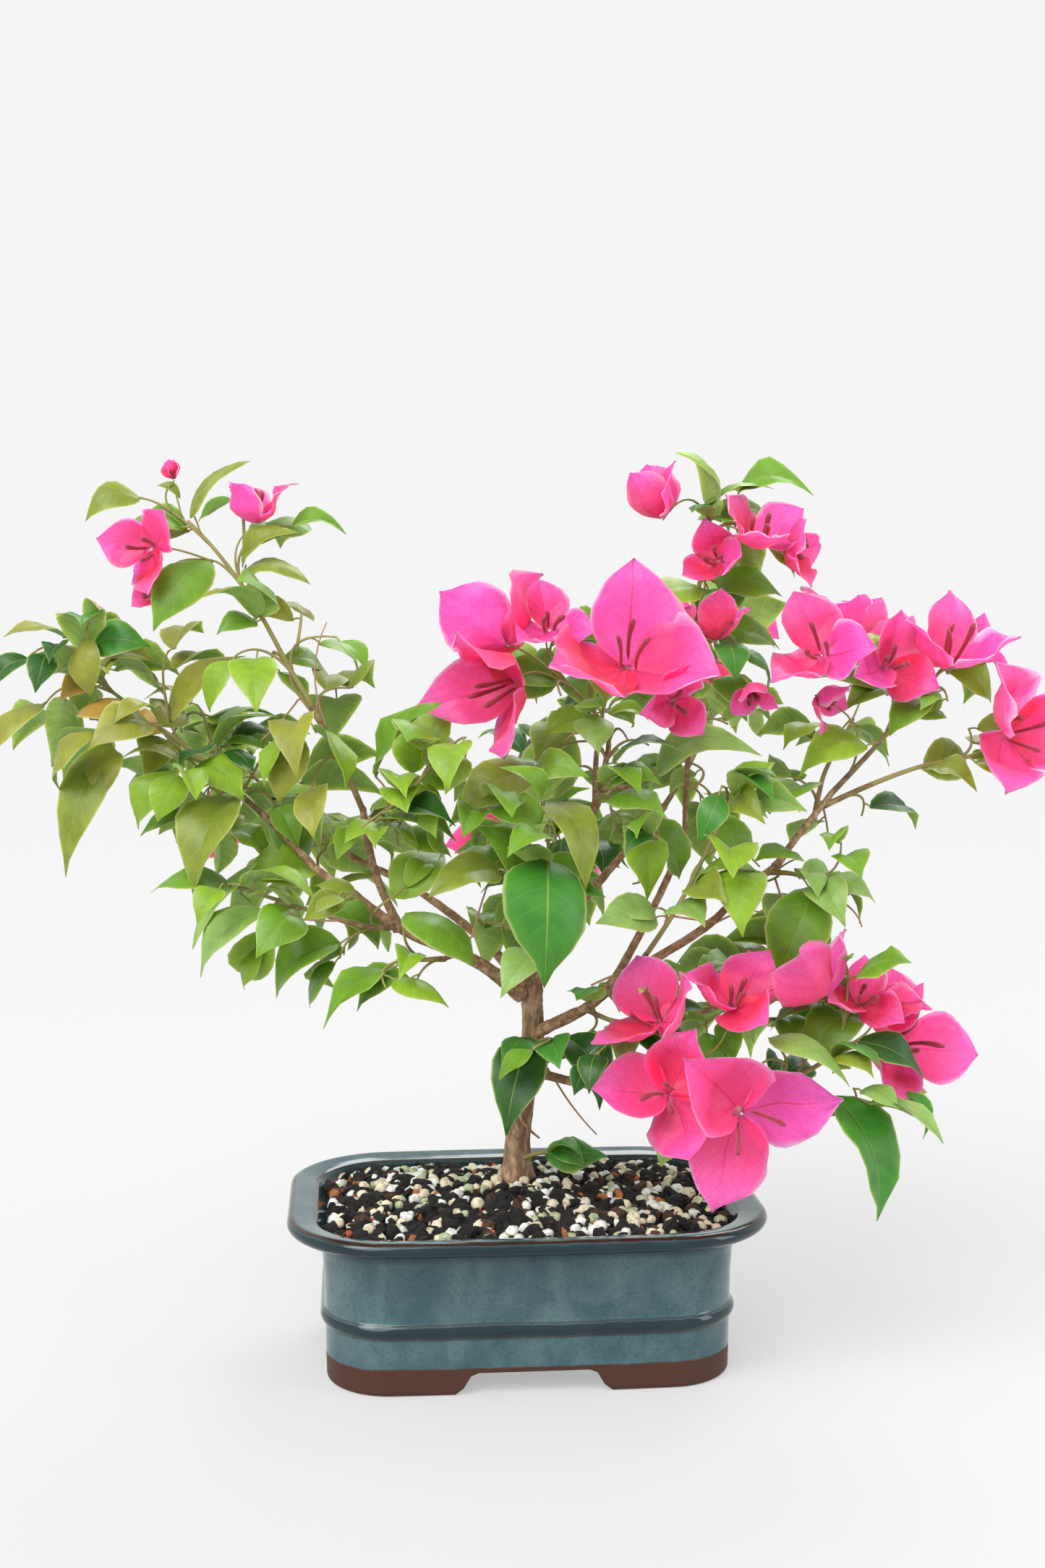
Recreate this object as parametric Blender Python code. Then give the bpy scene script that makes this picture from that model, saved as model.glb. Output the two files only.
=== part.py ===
"""A bougainvillea bonsai in its glazed pot, in metres, +Z up.

The origin is on the table under the middle of the whole plant's box. The pot's long side runs along
X and its front faces -Y. Every place in the tables below is in millimetres, right, back and up from
the middle of the pot's underside.
"""
import math
import random

import bmesh
import bpy
from mathutils import Vector
from mathutils.bvhtree import BVHTree

MM = 0.001
CLEAR = 0.3 * MM

# The pot, a rounded rectangle
POT_LENGTH = 198 * MM
POT_WIDTH = 140 * MM
RIM_CORNER = 42 * MM
CORNER_STEPS = 4
FOOT_HEIGHT = 9 * MM
FOOT_GAP_TOP = 47 * MM
FOOT_GAP_BOTTOM = 62 * MM

# The pot's wall from its underside, up the outside and down the inside: inset from the rim, height
POT_PROFILE = (
    (30, 9), (30, 0), (17.2, 0), (16, 1.2), (15.8, 11), (15.6, 23.6),
    (14.2, 24.6), (13.4, 26.8), (14.2, 29), (15.4, 30), (15.2, 42), (14.4, 52), (12.4, 58.4), (8, 60),
    (3, 60.4), (0.8, 62), (0, 64), (0.8, 66), (3, 67), (8, 66.2), (12, 65.2), (13.2, 63.6),
    (19, 57), (21, 18), (24, 14),
)

# The soil, mounded up to the flat place that the trunk stands on, and lumpy with bark and pumice
SOIL_EDGE = 61 * MM
SOIL_CREST = 68 * MM
SOIL_INSETS = ((24, 14), (19, 57), (15.2, 61))
SOIL_STRAIGHT = 24 * MM
MOUND_RADIUS = 12 * MM
MOUND_STEPS = 6
MOUND_SLOPE = 1.6
LUMPS = (-1.2, 2.4)
LUMP_SEED = 5

# The trunk, from its flat cut on the soil to the stub above the fork
TRUNK_PATH = ((-1, 15, 68.3), (-1, 15, 80), (0, 14, 94), (2, 12, 110), (5, 10, 126), (5, 8, 142),
              (4, 6, 161))
TRUNK_RADII = (5.4, 4.4)
FLARE_RADIUS = 3.4 * MM
FLARE_HEIGHT = 6 * MM
FLARE_LOBES = 4
LOBE_DEPTH = 0.45
STUB_HEIGHT = 2.5 * MM
STUB_SHARE = 0.6

# Each bough: the limb or limbs it springs from, its radius at foot and tip, and its line
BOUGHS = {
    "bough_left": (("trunk",), (3.0, 2.0),
                   ((0, 6, 151), (-15, -3, 163), (-25, -5, 169), (-41, -8, 176), (-57, -10, 184))),
    "bough_left_outer": (("bough_left",), (1.9, 1.3),
                         ((-55, -10, 183), (-71, -8, 196), (-85, -4, 205), (-97, 0, 217), (-109, 4, 229))),
    "bough_left_tall": (("bough_left", "bough_left_outer"), (1.9, 1.4),
                        ((-52, -9, 181), (-60, -15, 200), (-64, -20, 214), (-67, -22, 233))),
    "bough_left_low": (("bough_left",), (1.5, 1.0),
                       ((-22, -5, 167), (-28, -14, 171), (-35, -26, 171))),
    "bough_centre": (("trunk",), (2.6, 1.8),
                     ((5, 5, 156), (13, 0, 188), (23, -4, 219), (30, -7, 232), (32, -8, 244))),
    "bough_right_low": (("trunk",), (2.6, 2.0),
                        ((6, 9, 133), (20, -6, 143), (28, -12, 149), (40, -16, 161))),
    "bough_right_arch": (("bough_right_low",), (1.9, 1.5),
                         ((39, -16, 160), (62, -20, 174), (77, -20, 184), (91, -18, 197), (106, -14, 207))),
    "bough_right_outer": (("bough_right_arch",), (1.5, 1.2),
                          ((105, -14, 206), (115, -12, 219), (130, -10, 237))),
    "bough_right_upright": (("bough_right_low", "bough_right_arch"), (1.8, 1.4),
                            ((36, -14, 157), (46, -7, 172), (52, -3, 182), (60, 1, 196), (70, 6, 216))),
    "bough_right_flower": (("trunk",), (2.0, 1.4),
                           ((5, 11, 116), (22, -18, 117), (49, -40, 117), (88, -52, 120))),
    "bough_back_left": (("trunk", "bough_left"), (2.2, 1.4),
                        ((5, 6, 146), (-12, 24, 168), (-42, 44, 190), (-72, 62, 204))),
    "bough_back_right": (("trunk", "bough_centre"), (2.2, 1.4),
                         ((4, 5, 151), (20, 26, 176), (46, 46, 202), (70, 58, 226))),
    "bough_back_middle": (("trunk",), (2.0, 1.4),
                          ((4, 9, 132), (8, 36, 148), (14, 60, 168), (18, 76, 188))),
    "bough_back_low": (("trunk",), (1.9, 1.3),
                       ((3, 11, 119), (34, 30, 122), (64, 38, 128), (92, 46, 136))),
}

# Each foliage mass: the limb its stem meets, the stem's line, how far its twigs reach out from it,
# how many twigs it has, the leaves on each and the seed of its twigs
MASSES = {
    "foliage_left_top": ("bough_left_tall", 50, 6, 2, 11,
                         ((-67, -22, 232), (-73, -22, 246), (-84, -21, 268), (-97, -18, 291),
                          (-110, -14, 315), (-125, -10, 336), (-137, -6, 349))),
    "foliage_left_arm": ("bough_left_outer", 50, 8, 3, 12,
                         ((-108, 4, 228), (-120, 8, 238), (-135, 12, 252), (-150, 15, 263),
                          (-178, 20, 284))),
    "foliage_left_under": ("bough_left", 42, 4, 2, 13,
                           ((-53, -10, 182), (-66, -20, 184), (-86, -20, 190), (-118, -14, 200))),
    "foliage_left_middle": ("bough_left_tall", 40, 4, 2, 14,
                            ((-65, -21, 226), (-58, -29, 232), (-48, -33, 240), (-40, -35, 250))),
    "foliage_left_low": ("bough_left_low", 30, 2, 2, 15,
                         ((-34, -25, 171), (-42, -32, 172), (-54, -34, 172))),
    "foliage_centre_front": ("trunk", 42, 4, 2, 16,
                             ((4, 7, 152), (1, -14, 168), (0, -32, 194), (-2, -38, 220), (-8, -34, 242))),
    "foliage_centre_top": ("bough_centre", 44, 3, 2, 17,
                           ((32, -8, 243), (35, -10, 258), (28, -13, 272), (16, -16, 284))),
    "foliage_centre_right": ("bough_centre", 40, 4, 3, 18,
                             ((31, -8, 238), (42, -20, 240), (50, -27, 232), (54, -32, 214))),
    "foliage_right_top": ("bough_right_upright", 44, 5, 2, 19,
                          ((70, 6, 215), (71, 8, 240), (73, 10, 270), (75, 6, 320), (80, 0, 356))),
    "foliage_right_middle": ("bough_right_low", 40, 5, 3, 20,
                             ((31, -13, 151), (44, -32, 168), (62, -40, 198), (82, -34, 236))),
    "foliage_right_arch": ("bough_right_outer", 44, 5, 2, 21,
                           ((129, -10, 236), (149, -7, 256), (168, -8, 278), (178, -10, 291))),
    "foliage_right_far": ("bough_right_outer", 36, 2, 2, 22,
                          ((126, -10, 231), (144, -15, 240), (166, -16, 248), (188, -15, 252))),
    "foliage_right_under": ("bough_right_arch", 36, 2, 2, 23,
                            ((102, -15, 204), (110, -20, 204), (118, -24, 202))),
    "foliage_right_low": ("bough_right_flower", 44, 4, 2, 24,
                          ((87, -52, 120), (104, -55, 126), (120, -56, 136), (126, -52, 152))),
    "foliage_right_hanging": ("bough_right_flower", 44, 2, 2, 25,
                              ((82, -50, 119), (100, -58, 112), (124, -58, 112), (148, -50, 114))),
    "foliage_centre_low": ("bough_right_low", 40, 3, 2, 26,
                           ((25, -11, 147), (34, -27, 145), (46, -42, 146))),
    "foliage_front_low": ("trunk", 36, 2, 1, 27,
                          ((5, 10, 126), (4, -8, 132), (9, -18, 136))),
    "foliage_trunk_foot": ("trunk", 30, 0, 0, 28,
                           ((-1, 15, 76), (5, 5, 81), (10, -2, 84))),
    "foliage_back_left": ("bough_back_left", 54, 4, 3, 29,
                          ((-71, 61, 204), (-88, 76, 214), (-104, 88, 226), (-118, 92, 240))),
    "foliage_back_right": ("bough_back_right", 54, 4, 3, 30,
                           ((69, 58, 225), (84, 70, 246), (94, 78, 270), (97, 80, 296))),
    "foliage_back_middle": ("bough_back_middle", 52, 4, 3, 31,
                            ((18, 75, 187), (20, 88, 204), (18, 98, 222))),
    "foliage_back_top": ("bough_centre", 44, 3, 2, 32,
                         ((30, -6, 234), (33, 14, 252), (40, 40, 276), (44, 56, 292))),
    "foliage_back_low": ("bough_back_low", 46, 4, 3, 33,
                         ((91, 46, 136), (108, 52, 142), (124, 52, 150))),
    "foliage_back_arch": ("bough_right_outer", 40, 3, 2, 34,
                          ((122, -11, 226), (132, 12, 244), (150, 34, 266))),
}

# Flower heads of three papery bracts: the mass, the place, the bracts' length and the way the head
# opens, then in degrees the turn of its first bract from the top leftwards and how far the bracts flare
BLOOMS = (
    ("foliage_left_top", (-109, -14, 347), 27, (0, 0, 1), 295, 32),
    ("foliage_left_top", (-150, -18, 337), 23, (-0.5, -0.85, 0), 75, 60),
    ("foliage_left_top", (-149, -6, 322), 24, (-0.7, -0.7, -0.3), 150, 45),
    ("foliage_left_top", (-142, -8, 365), 9, (-0.3, 0, 1), 0, 15),
    ("foliage_centre_top", (-9, -34, 298), 36, (-0.3, 0.5, 0.6), 50, 50),
    ("foliage_centre_top", (8, -30, 304), 34, (0, -0.8, 0.6), 350, 60),
    ("foliage_centre_top", (-5, -30, 284), 42, (-0.77, -0.57, -0.25), 100, 35),
    ("foliage_centre_top", (38, -44, 289), 45, (0, -0.75, 0.6), 355, 55),
    ("foliage_centre_top", (54, -54, 277), 25, (0.15, -1, -0.1), 0, 55),
    ("foliage_right_top", (57, -12, 350), 25, (-0.3, -0.1, 1), 60, 25),
    ("foliage_right_top", (82, -6, 333), 20, (-0.4, -0.7, 0.3), 20, 50),
    ("foliage_right_top", (96, -14, 339), 28, (0.1, -0.5, 0.8), 20, 50),
    ("foliage_right_top", (107, -10, 337), 21, (0.9, -0.4, 0.05), 40, 50),
    ("foliage_right_top", (78, -20, 300), 29, (0, 0.3, 0.9), 120, 36),
    ("foliage_right_top", (92, -24, 282), 22, (0, -0.5, -0.8), 100, 50),
    ("foliage_right_arch", (121, -26, 294), 29, (-0.4, -0.7, 0.5), 25, 60),
    ("foliage_right_arch", (134, -4, 301), 28, (0.1, 0, 1), 0, 45),
    ("foliage_right_arch", (149, -22, 289), 25, (0.1, -0.9, 0.3), 350, 55),
    ("foliage_right_arch", (120, -18, 278), 18, (0.7, -0.4, -0.4), 30, 40),
    ("foliage_right_arch", (176, -16, 289), 36, (0.1, -0.4, 0.9), 100, 40),
    ("foliage_right_arch", (191, 6, 294), 20, (0.8, 0.3, 0.4), 20, 40),
    ("foliage_right_far", (202, -16, 262), 36, (0.3, -0.7, 0.1), 30, 60),
    ("foliage_centre_low", (50, -52, 148), 33, (-0.55, -0.35, 0.75), 152, 60),
    ("foliage_centre_low", (79, -58, 155), 36, (0, -0.6, 0.8), 0, 52),
    ("foliage_centre_low", (52, -66, 123), 34, (-0.4, -0.9, 0.2), 345, 65),
    ("foliage_right_low", (79, -74, 117), 40, (0.1, -1, -0.2), 40, 72),
    ("foliage_right_low", (114, -60, 158), 34, (-0.4, 0.3, 0.7), 60, 55),
    ("foliage_right_low", (131, -52, 154), 39, (0.1, -0.6, 0.6), 55, 60),
    ("foliage_right_low", (138, -50, 151), 23, (1, 0, 0.25), 0, 12),
    ("foliage_right_low", (152, -34, 134), 34, (0.3, -0.7, 0.3), 14, 65),
    ("foliage_back_left", (-130, 96, 212), 32, (-0.5, 0.8, 0.1), 0, 50),
    ("foliage_back_left", (-98, 118, 206), 30, (0.1, 0.9, 0.3), 40, 50),
    ("foliage_back_right", (84, 104, 300), 34, (-0.2, 0.8, 0.5), 0, 50),
    ("foliage_back_right", (112, 98, 306), 34, (0.5, 0.7, 0.5), 20, 50),
    ("foliage_back_right", (104, 116, 278), 32, (0.2, 1, 0.1), 40, 55),
    ("foliage_back_middle", (-6, 114, 204), 34, (-0.3, 0.9, 0.3), 0, 50),
    ("foliage_back_middle", (34, 128, 190), 32, (0.3, 0.9, 0.1), 30, 55),
    ("foliage_back_top", (48, 74, 300), 32, (0, 0.8, 0.5), 0, 50),
    ("foliage_back_low", (132, 80, 158), 34, (0.4, 0.8, 0.4), 0, 50),
    ("foliage_back_low", (110, 88, 148), 34, (-0.2, 0.9, 0.1), 30, 55),
    ("foliage_back_arch", (160, 50, 288), 30, (0.3, 0.7, 0.6), 0, 50),
)

# The leaves that mark the crown's edge and front: the mass, where the blade's foot is, its tip, its width
LEADING_LEAVES = (
    ("foliage_left_top", (-156, -6, 358), (-178, -10, 350), 14),
    ("foliage_left_top", (-140, -6, 358), (-166, -4, 374), 13),
    ("foliage_left_top", (-136, -8, 350), (-112, -12, 374), 16),
    ("foliage_left_top", (-115, -12, 330), (-88, -22, 350), 16),
    ("foliage_left_top", (-115, -12, 328), (-88, -24, 326), 18),
    ("foliage_left_top", (-128, -12, 333), (-153, -30, 296), 27),
    ("foliage_left_arm", (-199, 18, 274), (-226, 8, 250), 16),
    ("foliage_left_arm", (-172, 14, 258), (-190, 0, 204), 20),
    ("foliage_left_arm", (-120, 0, 236), (-139, -22, 196), 27),
    ("foliage_left_arm", (-147, 12, 268), (-116, 0, 296), 20),
    ("foliage_left_arm", (-127, 8, 256), (-103, -6, 272), 22),
    ("foliage_left_under", (-110, -10, 210), (-138, -20, 177), 20),
    ("foliage_left_under", (-106, -21, 191), (-134, -29, 168), 22),
    ("foliage_left_middle", (-62, -28, 246), (-36, -40, 276), 22),
    ("foliage_left_middle", (-60, -28, 230), (-32, -46, 224), 20),
    ("foliage_left_low", (-50, -38, 192), (-24, -54, 175), 27),
    ("foliage_left_low", (-57, -32, 168), (-84, -46, 149), 18),
    ("foliage_centre_front", (6, -46, 214), (-1, -70, 170), 36),
    ("foliage_centre_front", (3, -30, 248), (-30, -44, 230), 22),
    ("foliage_centre_front", (8, -36, 236), (22, -60, 206), 20),
    ("foliage_centre_front", (-12, -36, 208), (-42, -50, 202), 20),
    ("foliage_centre_right", (40, -28, 226), (50, -44, 192), 22),
    ("foliage_centre_right", (52, -28, 246), (90, -40, 262), 22),
    ("foliage_right_top", (76, 0, 357), (103, -8, 366), 17),
    ("foliage_right_top", (62, -10, 308), (109, -36, 270), 28),
    ("foliage_right_top", (75, 2, 322), (44, -14, 312), 20),
    ("foliage_right_arch", (184, -8, 297), (219, -18, 278), 20),
    ("foliage_right_under", (119, -27, 198), (102, -39, 163), 26),
    ("foliage_right_under", (112, -23, 210), (92, -34, 212), 20),
    ("foliage_trunk_foot", (12, -4, 85), (26, -10, 79), 10),
    ("foliage_front_low", (3, -10, 135), (-12, -32, 100), 22),
    ("foliage_front_low", (16, -20, 137), (34, -38, 108), 24),
    ("foliage_right_hanging", (120, -62, 120), (136, -78, 74), 30),
    ("foliage_right_hanging", (150, -50, 118), (183, -56, 70), 22),
    ("foliage_right_low", (92, -64, 144), (122, -80, 130), 22),
    ("foliage_right_low", (130, -54, 140), (163, -62, 122), 20),
    ("foliage_centre_low", (62, -50, 112), (48, -60, 94), 18),
    ("foliage_back_left", (-118, 100, 238), (-150, 134, 228), 24),
    ("foliage_back_left", (-86, 96, 216), (-74, 140, 200), 24),
    ("foliage_back_middle", (20, 112, 224), (14, 150, 204), 26),
    ("foliage_back_right", (104, 96, 270), (122, 136, 254), 24),
)

# Leaves: lengths in mm, the rest as shares of the length, and stations as share along and half width
LEAF_LENGTHS = (22, 38)
LEAF_SLIMNESS = (0.52, 0.66)
LEAF_SAG = 0.09
LEAF_KEEL = 0.035
LEAF_STATIONS = ((0.24, 0.48), (0.62, 0.38))
LEAF_FOOT = 0.16
LEAF_TIP = 1.1
LEAF_TILTS = (0.5, 1.2, -0.3, 2.5)
SHORTER = (1, 0.85, 0.7)
STALK_RADIUS = 0.5 * MM

# Bracts: stations as for a leaf, their width and the tube's length, and how a head is set
BRACT_STATIONS = ((0.3, 0.22), (0.62, 0.48))
BRACT_WIDTH = 0.86
BRACT_FOOT = 1 * MM
TUBE_LENGTH = 0.5
STRAIGHT_UP = 0.95
SWING = 30
SHRINK = 0.95

# Twigs: where along a line they root, how they bend away from it and how far they reach
TWIG_RADIUS = 0.9 * MM
TWIG_TAPER = 0.4
STEM_RADII = (1.3, 0.9)
ROOT_SHARES = (0.15, 0.3, 0.45, 0.6, 0.75, 0.9)
TWIG_BEND = (0.3, 0.35)
TWIG_REACH = (0.25, 0.62)
FORK_LEAD = 8 * MM
LONG_STALK = 14 * MM
ELBOW_ROOM = 0.5 * MM
TRIES = 14
GROUND_ROOM = 70 * MM
FRONT_DEPTH = 20 * MM

# Colours, roughness
FINISHES = {
    "glaze": ((0.07, 0.15, 0.18, 1), 0.2),
    "soil": ((0.05, 0.04, 0.03, 1), 0.95),
    "bark": ((0.30, 0.20, 0.13, 1), 0.85),
    "foliage": ((0.13, 0.30, 0.05, 1), 0.5),
}


def mm(place):
    return Vector(place) * MM


def material(name):
    """The plain finish of that name, made once."""
    if name in bpy.data.materials:
        return bpy.data.materials[name]
    colour, roughness = FINISHES[name]
    made = bpy.data.materials.new(name)
    made.use_nodes = True
    shader = made.node_tree.nodes["Principled BSDF"]
    shader.inputs["Base Color"].default_value = colour
    shader.inputs["Roughness"].default_value = roughness
    made.diffuse_color = colour
    return made


def solid(name, vertices, faces, finish):
    """An object of these faces, all turned outwards."""
    mesh = bpy.data.meshes.new(name)
    mesh.from_pydata([tuple(v) for v in vertices], [], faces)
    work = bmesh.new()
    work.from_mesh(mesh)
    bmesh.ops.recalc_face_normals(work, faces=work.faces)
    work.to_mesh(mesh)
    work.free()
    mesh.materials.append(material(finish))
    made = bpy.data.objects.new(name, mesh)
    bpy.context.scene.collection.objects.link(made)
    return made


def loft(rings):
    """Vertices and faces of a closed body through rings of equal count, with a cap at each end."""
    count = len(rings[0])
    vertices = [point for ring in rings for point in ring]
    faces = [tuple(reversed(range(count)))]
    for k in range(len(rings) - 1):
        low, high = k * count, (k + 1) * count
        faces += [(low + i, low + (i + 1) % count, high + (i + 1) % count, high + i) for i in range(count)]
    faces.append(tuple(range((len(rings) - 1) * count, len(rings) * count)))
    return vertices, faces


def rounded_ring(length, width, corner, height):
    """A rounded rectangle round the Z axis at this height."""
    ring = []
    for quarter in range(4):
        middle = Vector(((1, -1, -1, 1)[quarter] * (length / 2 - corner),
                         (1, 1, -1, -1)[quarter] * (width / 2 - corner), height))
        for step in range(CORNER_STEPS + 1):
            turn = (quarter + step / CORNER_STEPS) * math.pi / 2
            ring.append(middle + Vector((math.cos(turn), math.sin(turn), 0)) * corner)
    return ring


def pot_ring(inset, height):
    """The pot's outline at a height, this far in from the rim's outermost line."""
    corner = max(RIM_CORNER - inset, 8 * MM)
    return rounded_ring(POT_LENGTH - 2 * inset, POT_WIDTH - 2 * inset, corner, height)


def smooth_line(points, steps):
    """A Catmull-Rom curve through the points, with this many steps between each two."""
    points = [Vector(p) for p in points]
    ends = [points[0] * 2 - points[1], *points, points[-1] * 2 - points[-2]]
    line = []
    for a, b, c, d in zip(ends, ends[1:], ends[2:], ends[3:]):
        for step in range(steps):
            t = step / steps
            line.append(0.5 * (2 * b + (c - a) * t + (2 * a - 5 * b + 4 * c - d) * t * t
                               + (3 * b - a - 3 * c + d) * t ** 3))
    return line + [points[-1]]


def tube_rings(line, radii, sides):
    """Rings square to the line, one at each of its points, turned as little as possible."""
    rings = []
    across = None
    for i, point in enumerate(line):
        ahead = (line[min(i + 1, len(line) - 1)] - line[max(i - 1, 0)]).normalized()
        across = ahead.orthogonal() if across is None else across - ahead * across.dot(ahead)
        across.normalize()
        beside = ahead.cross(across)
        rings.append([point + (across * math.cos(turn) + beside * math.sin(turn)) * radii[i]
                      for turn in (2 * math.pi * k / sides for k in range(sides))])
    return rings


def tapered(count, radii):
    """Evenly falling radii, in metres from millimetres."""
    return [(radii[0] + (radii[1] - radii[0]) * i / (count - 1)) * MM for i in range(count)]


def combine(base, others, operation, solver="EXACT"):
    """Join the others to the base or cut them from it in one Boolean, and remove them."""
    group = bpy.data.collections.new("together")
    bpy.context.scene.collection.children.link(group)
    for other in others:
        group.objects.link(other)
    step = base.modifiers.new("together", "BOOLEAN")
    step.operation = operation
    step.solver = solver
    step.operand_type = "COLLECTION"
    step.collection = group
    made = bpy.data.meshes.new_from_object(base.evaluated_get(bpy.context.evaluated_depsgraph_get()))
    base.modifiers.clear()
    base.data = made
    for other in others:
        bpy.data.objects.remove(other)
    bpy.data.collections.remove(group)
    keep_largest(base)
    return base


def keep_largest(piece):
    """Keep only the mesh's largest closed shell: no scrap and no sealed hollow stays."""
    work = bmesh.new()
    work.from_mesh(piece.data)
    bmesh.ops.triangulate(work, faces=work.faces)
    unseen = set(work.faces)
    shells = []
    while unseen:
        border = {unseen.pop()}
        shell = set(border)
        while border:
            border = {f for old in border for e in old.edges for f in e.link_faces} & unseen
            unseen -= border
            shell |= border
        shells.append(shell)
    shells.sort(key=len)
    bmesh.ops.delete(work, geom=[f for shell in shells[:-1] for f in shell], context="FACES")
    work.to_mesh(piece.data)
    work.free()


class Room:
    """What already stands in the crown, for finding out whether one more piece is clear of it."""

    def __init__(self):
        self.items = []

    def add(self, owner, vertices, faces):
        middle = sum((Vector(v) for v in vertices), Vector()) / len(vertices)
        radius = max((Vector(v) - middle).length for v in vertices)
        self.items.append((owner, middle, radius, BVHTree.FromPolygons(vertices, faces)))

    def is_clear(self, vertices, faces, but=None):
        """Whether the piece crosses nothing, apart from what one owner already has."""
        middle = sum((Vector(v) for v in vertices), Vector()) / len(vertices)
        radius = max((Vector(v) - middle).length for v in vertices)
        tree = None
        for owner, centre, reach, other in self.items:
            if owner == but or (centre - middle).length > reach + radius:
                continue
            tree = tree or BVHTree.FromPolygons(vertices, faces)
            if tree.overlap(other):
                return False
        return True


def blade(root, foot, tip, face, width, room=0.0, petiole=True, stations=LEAF_STATIONS):
    """A leaf or bract: a point for its root, two keeled stations and a point for its tip.

    The blade arches a little over the straight line from foot to tip. Room makes it fatter, for
    testing, and without its petiole it starts part of the way along.
    """
    along = tip - foot
    length = along.length
    side = along.cross(face).normalized()
    over = side.cross(along).normalized()
    if over.dot(face) < 0:
        over = -over
    keel = max(LEAF_KEEL * length, 2 * STALK_RADIUS) + room

    def station(share, half):
        middle = foot + along * share + over * LEAF_SAG * length * 4 * share * (1 - share)
        half = half * width + room
        return [middle - side * half + over * room, middle + side * half + over * room, middle - over * keel]

    start = root if petiole else foot + along * 0.08
    low, high = [station(share, half) for share, half in stations]
    return pointed([start, low, high, tip + along.normalized() * room])


def pointed(rings):
    """A closed body through rings of equal count, whose first and last members are single points."""
    vertices, faces = loft(rings[1:-1])
    for at, cap in ((rings[0], faces.pop(0)), (rings[-1], faces.pop())):
        faces += [(cap[i - 1], cap[i], len(vertices)) for i in range(len(cap))]
        vertices.append(at)
    return vertices, faces


def bent(root, ahead, end):
    """The line of a twig that leaves along its parent and bends over to its end."""
    onwards, across = TWIG_BEND
    return [root, root + ahead * (end - root).length * onwards + (end - root) * across, end]


def twig(line, radii):
    """A twig that starts as a point inside its parent and ends as one just past its last place."""
    end = line[-1] + (line[-1] - line[-2]).normalized() * TWIG_RADIUS
    return pointed([line[0], *tube_rings(line, radii, 3)[1:], end])


def stem_shape(line):
    """A mass's stem, which starts as a point well inside its limb."""
    start = line[0] - (line[1] - line[0]).normalized() * 2 * TWIG_RADIUS
    end = line[-1] + (line[-1] - line[-2]).normalized() * TWIG_RADIUS
    return pointed([start, *tube_rings(line, tapered(len(line), STEM_RADII), 4), end])


def spot_on(line, share):
    """The place this share of the way along a line, and the line's direction there."""
    spans = [(b - a).length for a, b in zip(line, line[1:])]
    left = share * sum(spans)
    for a, b, span in zip(line, line[1:], spans):
        if left <= span or b is line[-1]:
            return a.lerp(b, left / span), (b - a).normalized()
        left -= span


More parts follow.
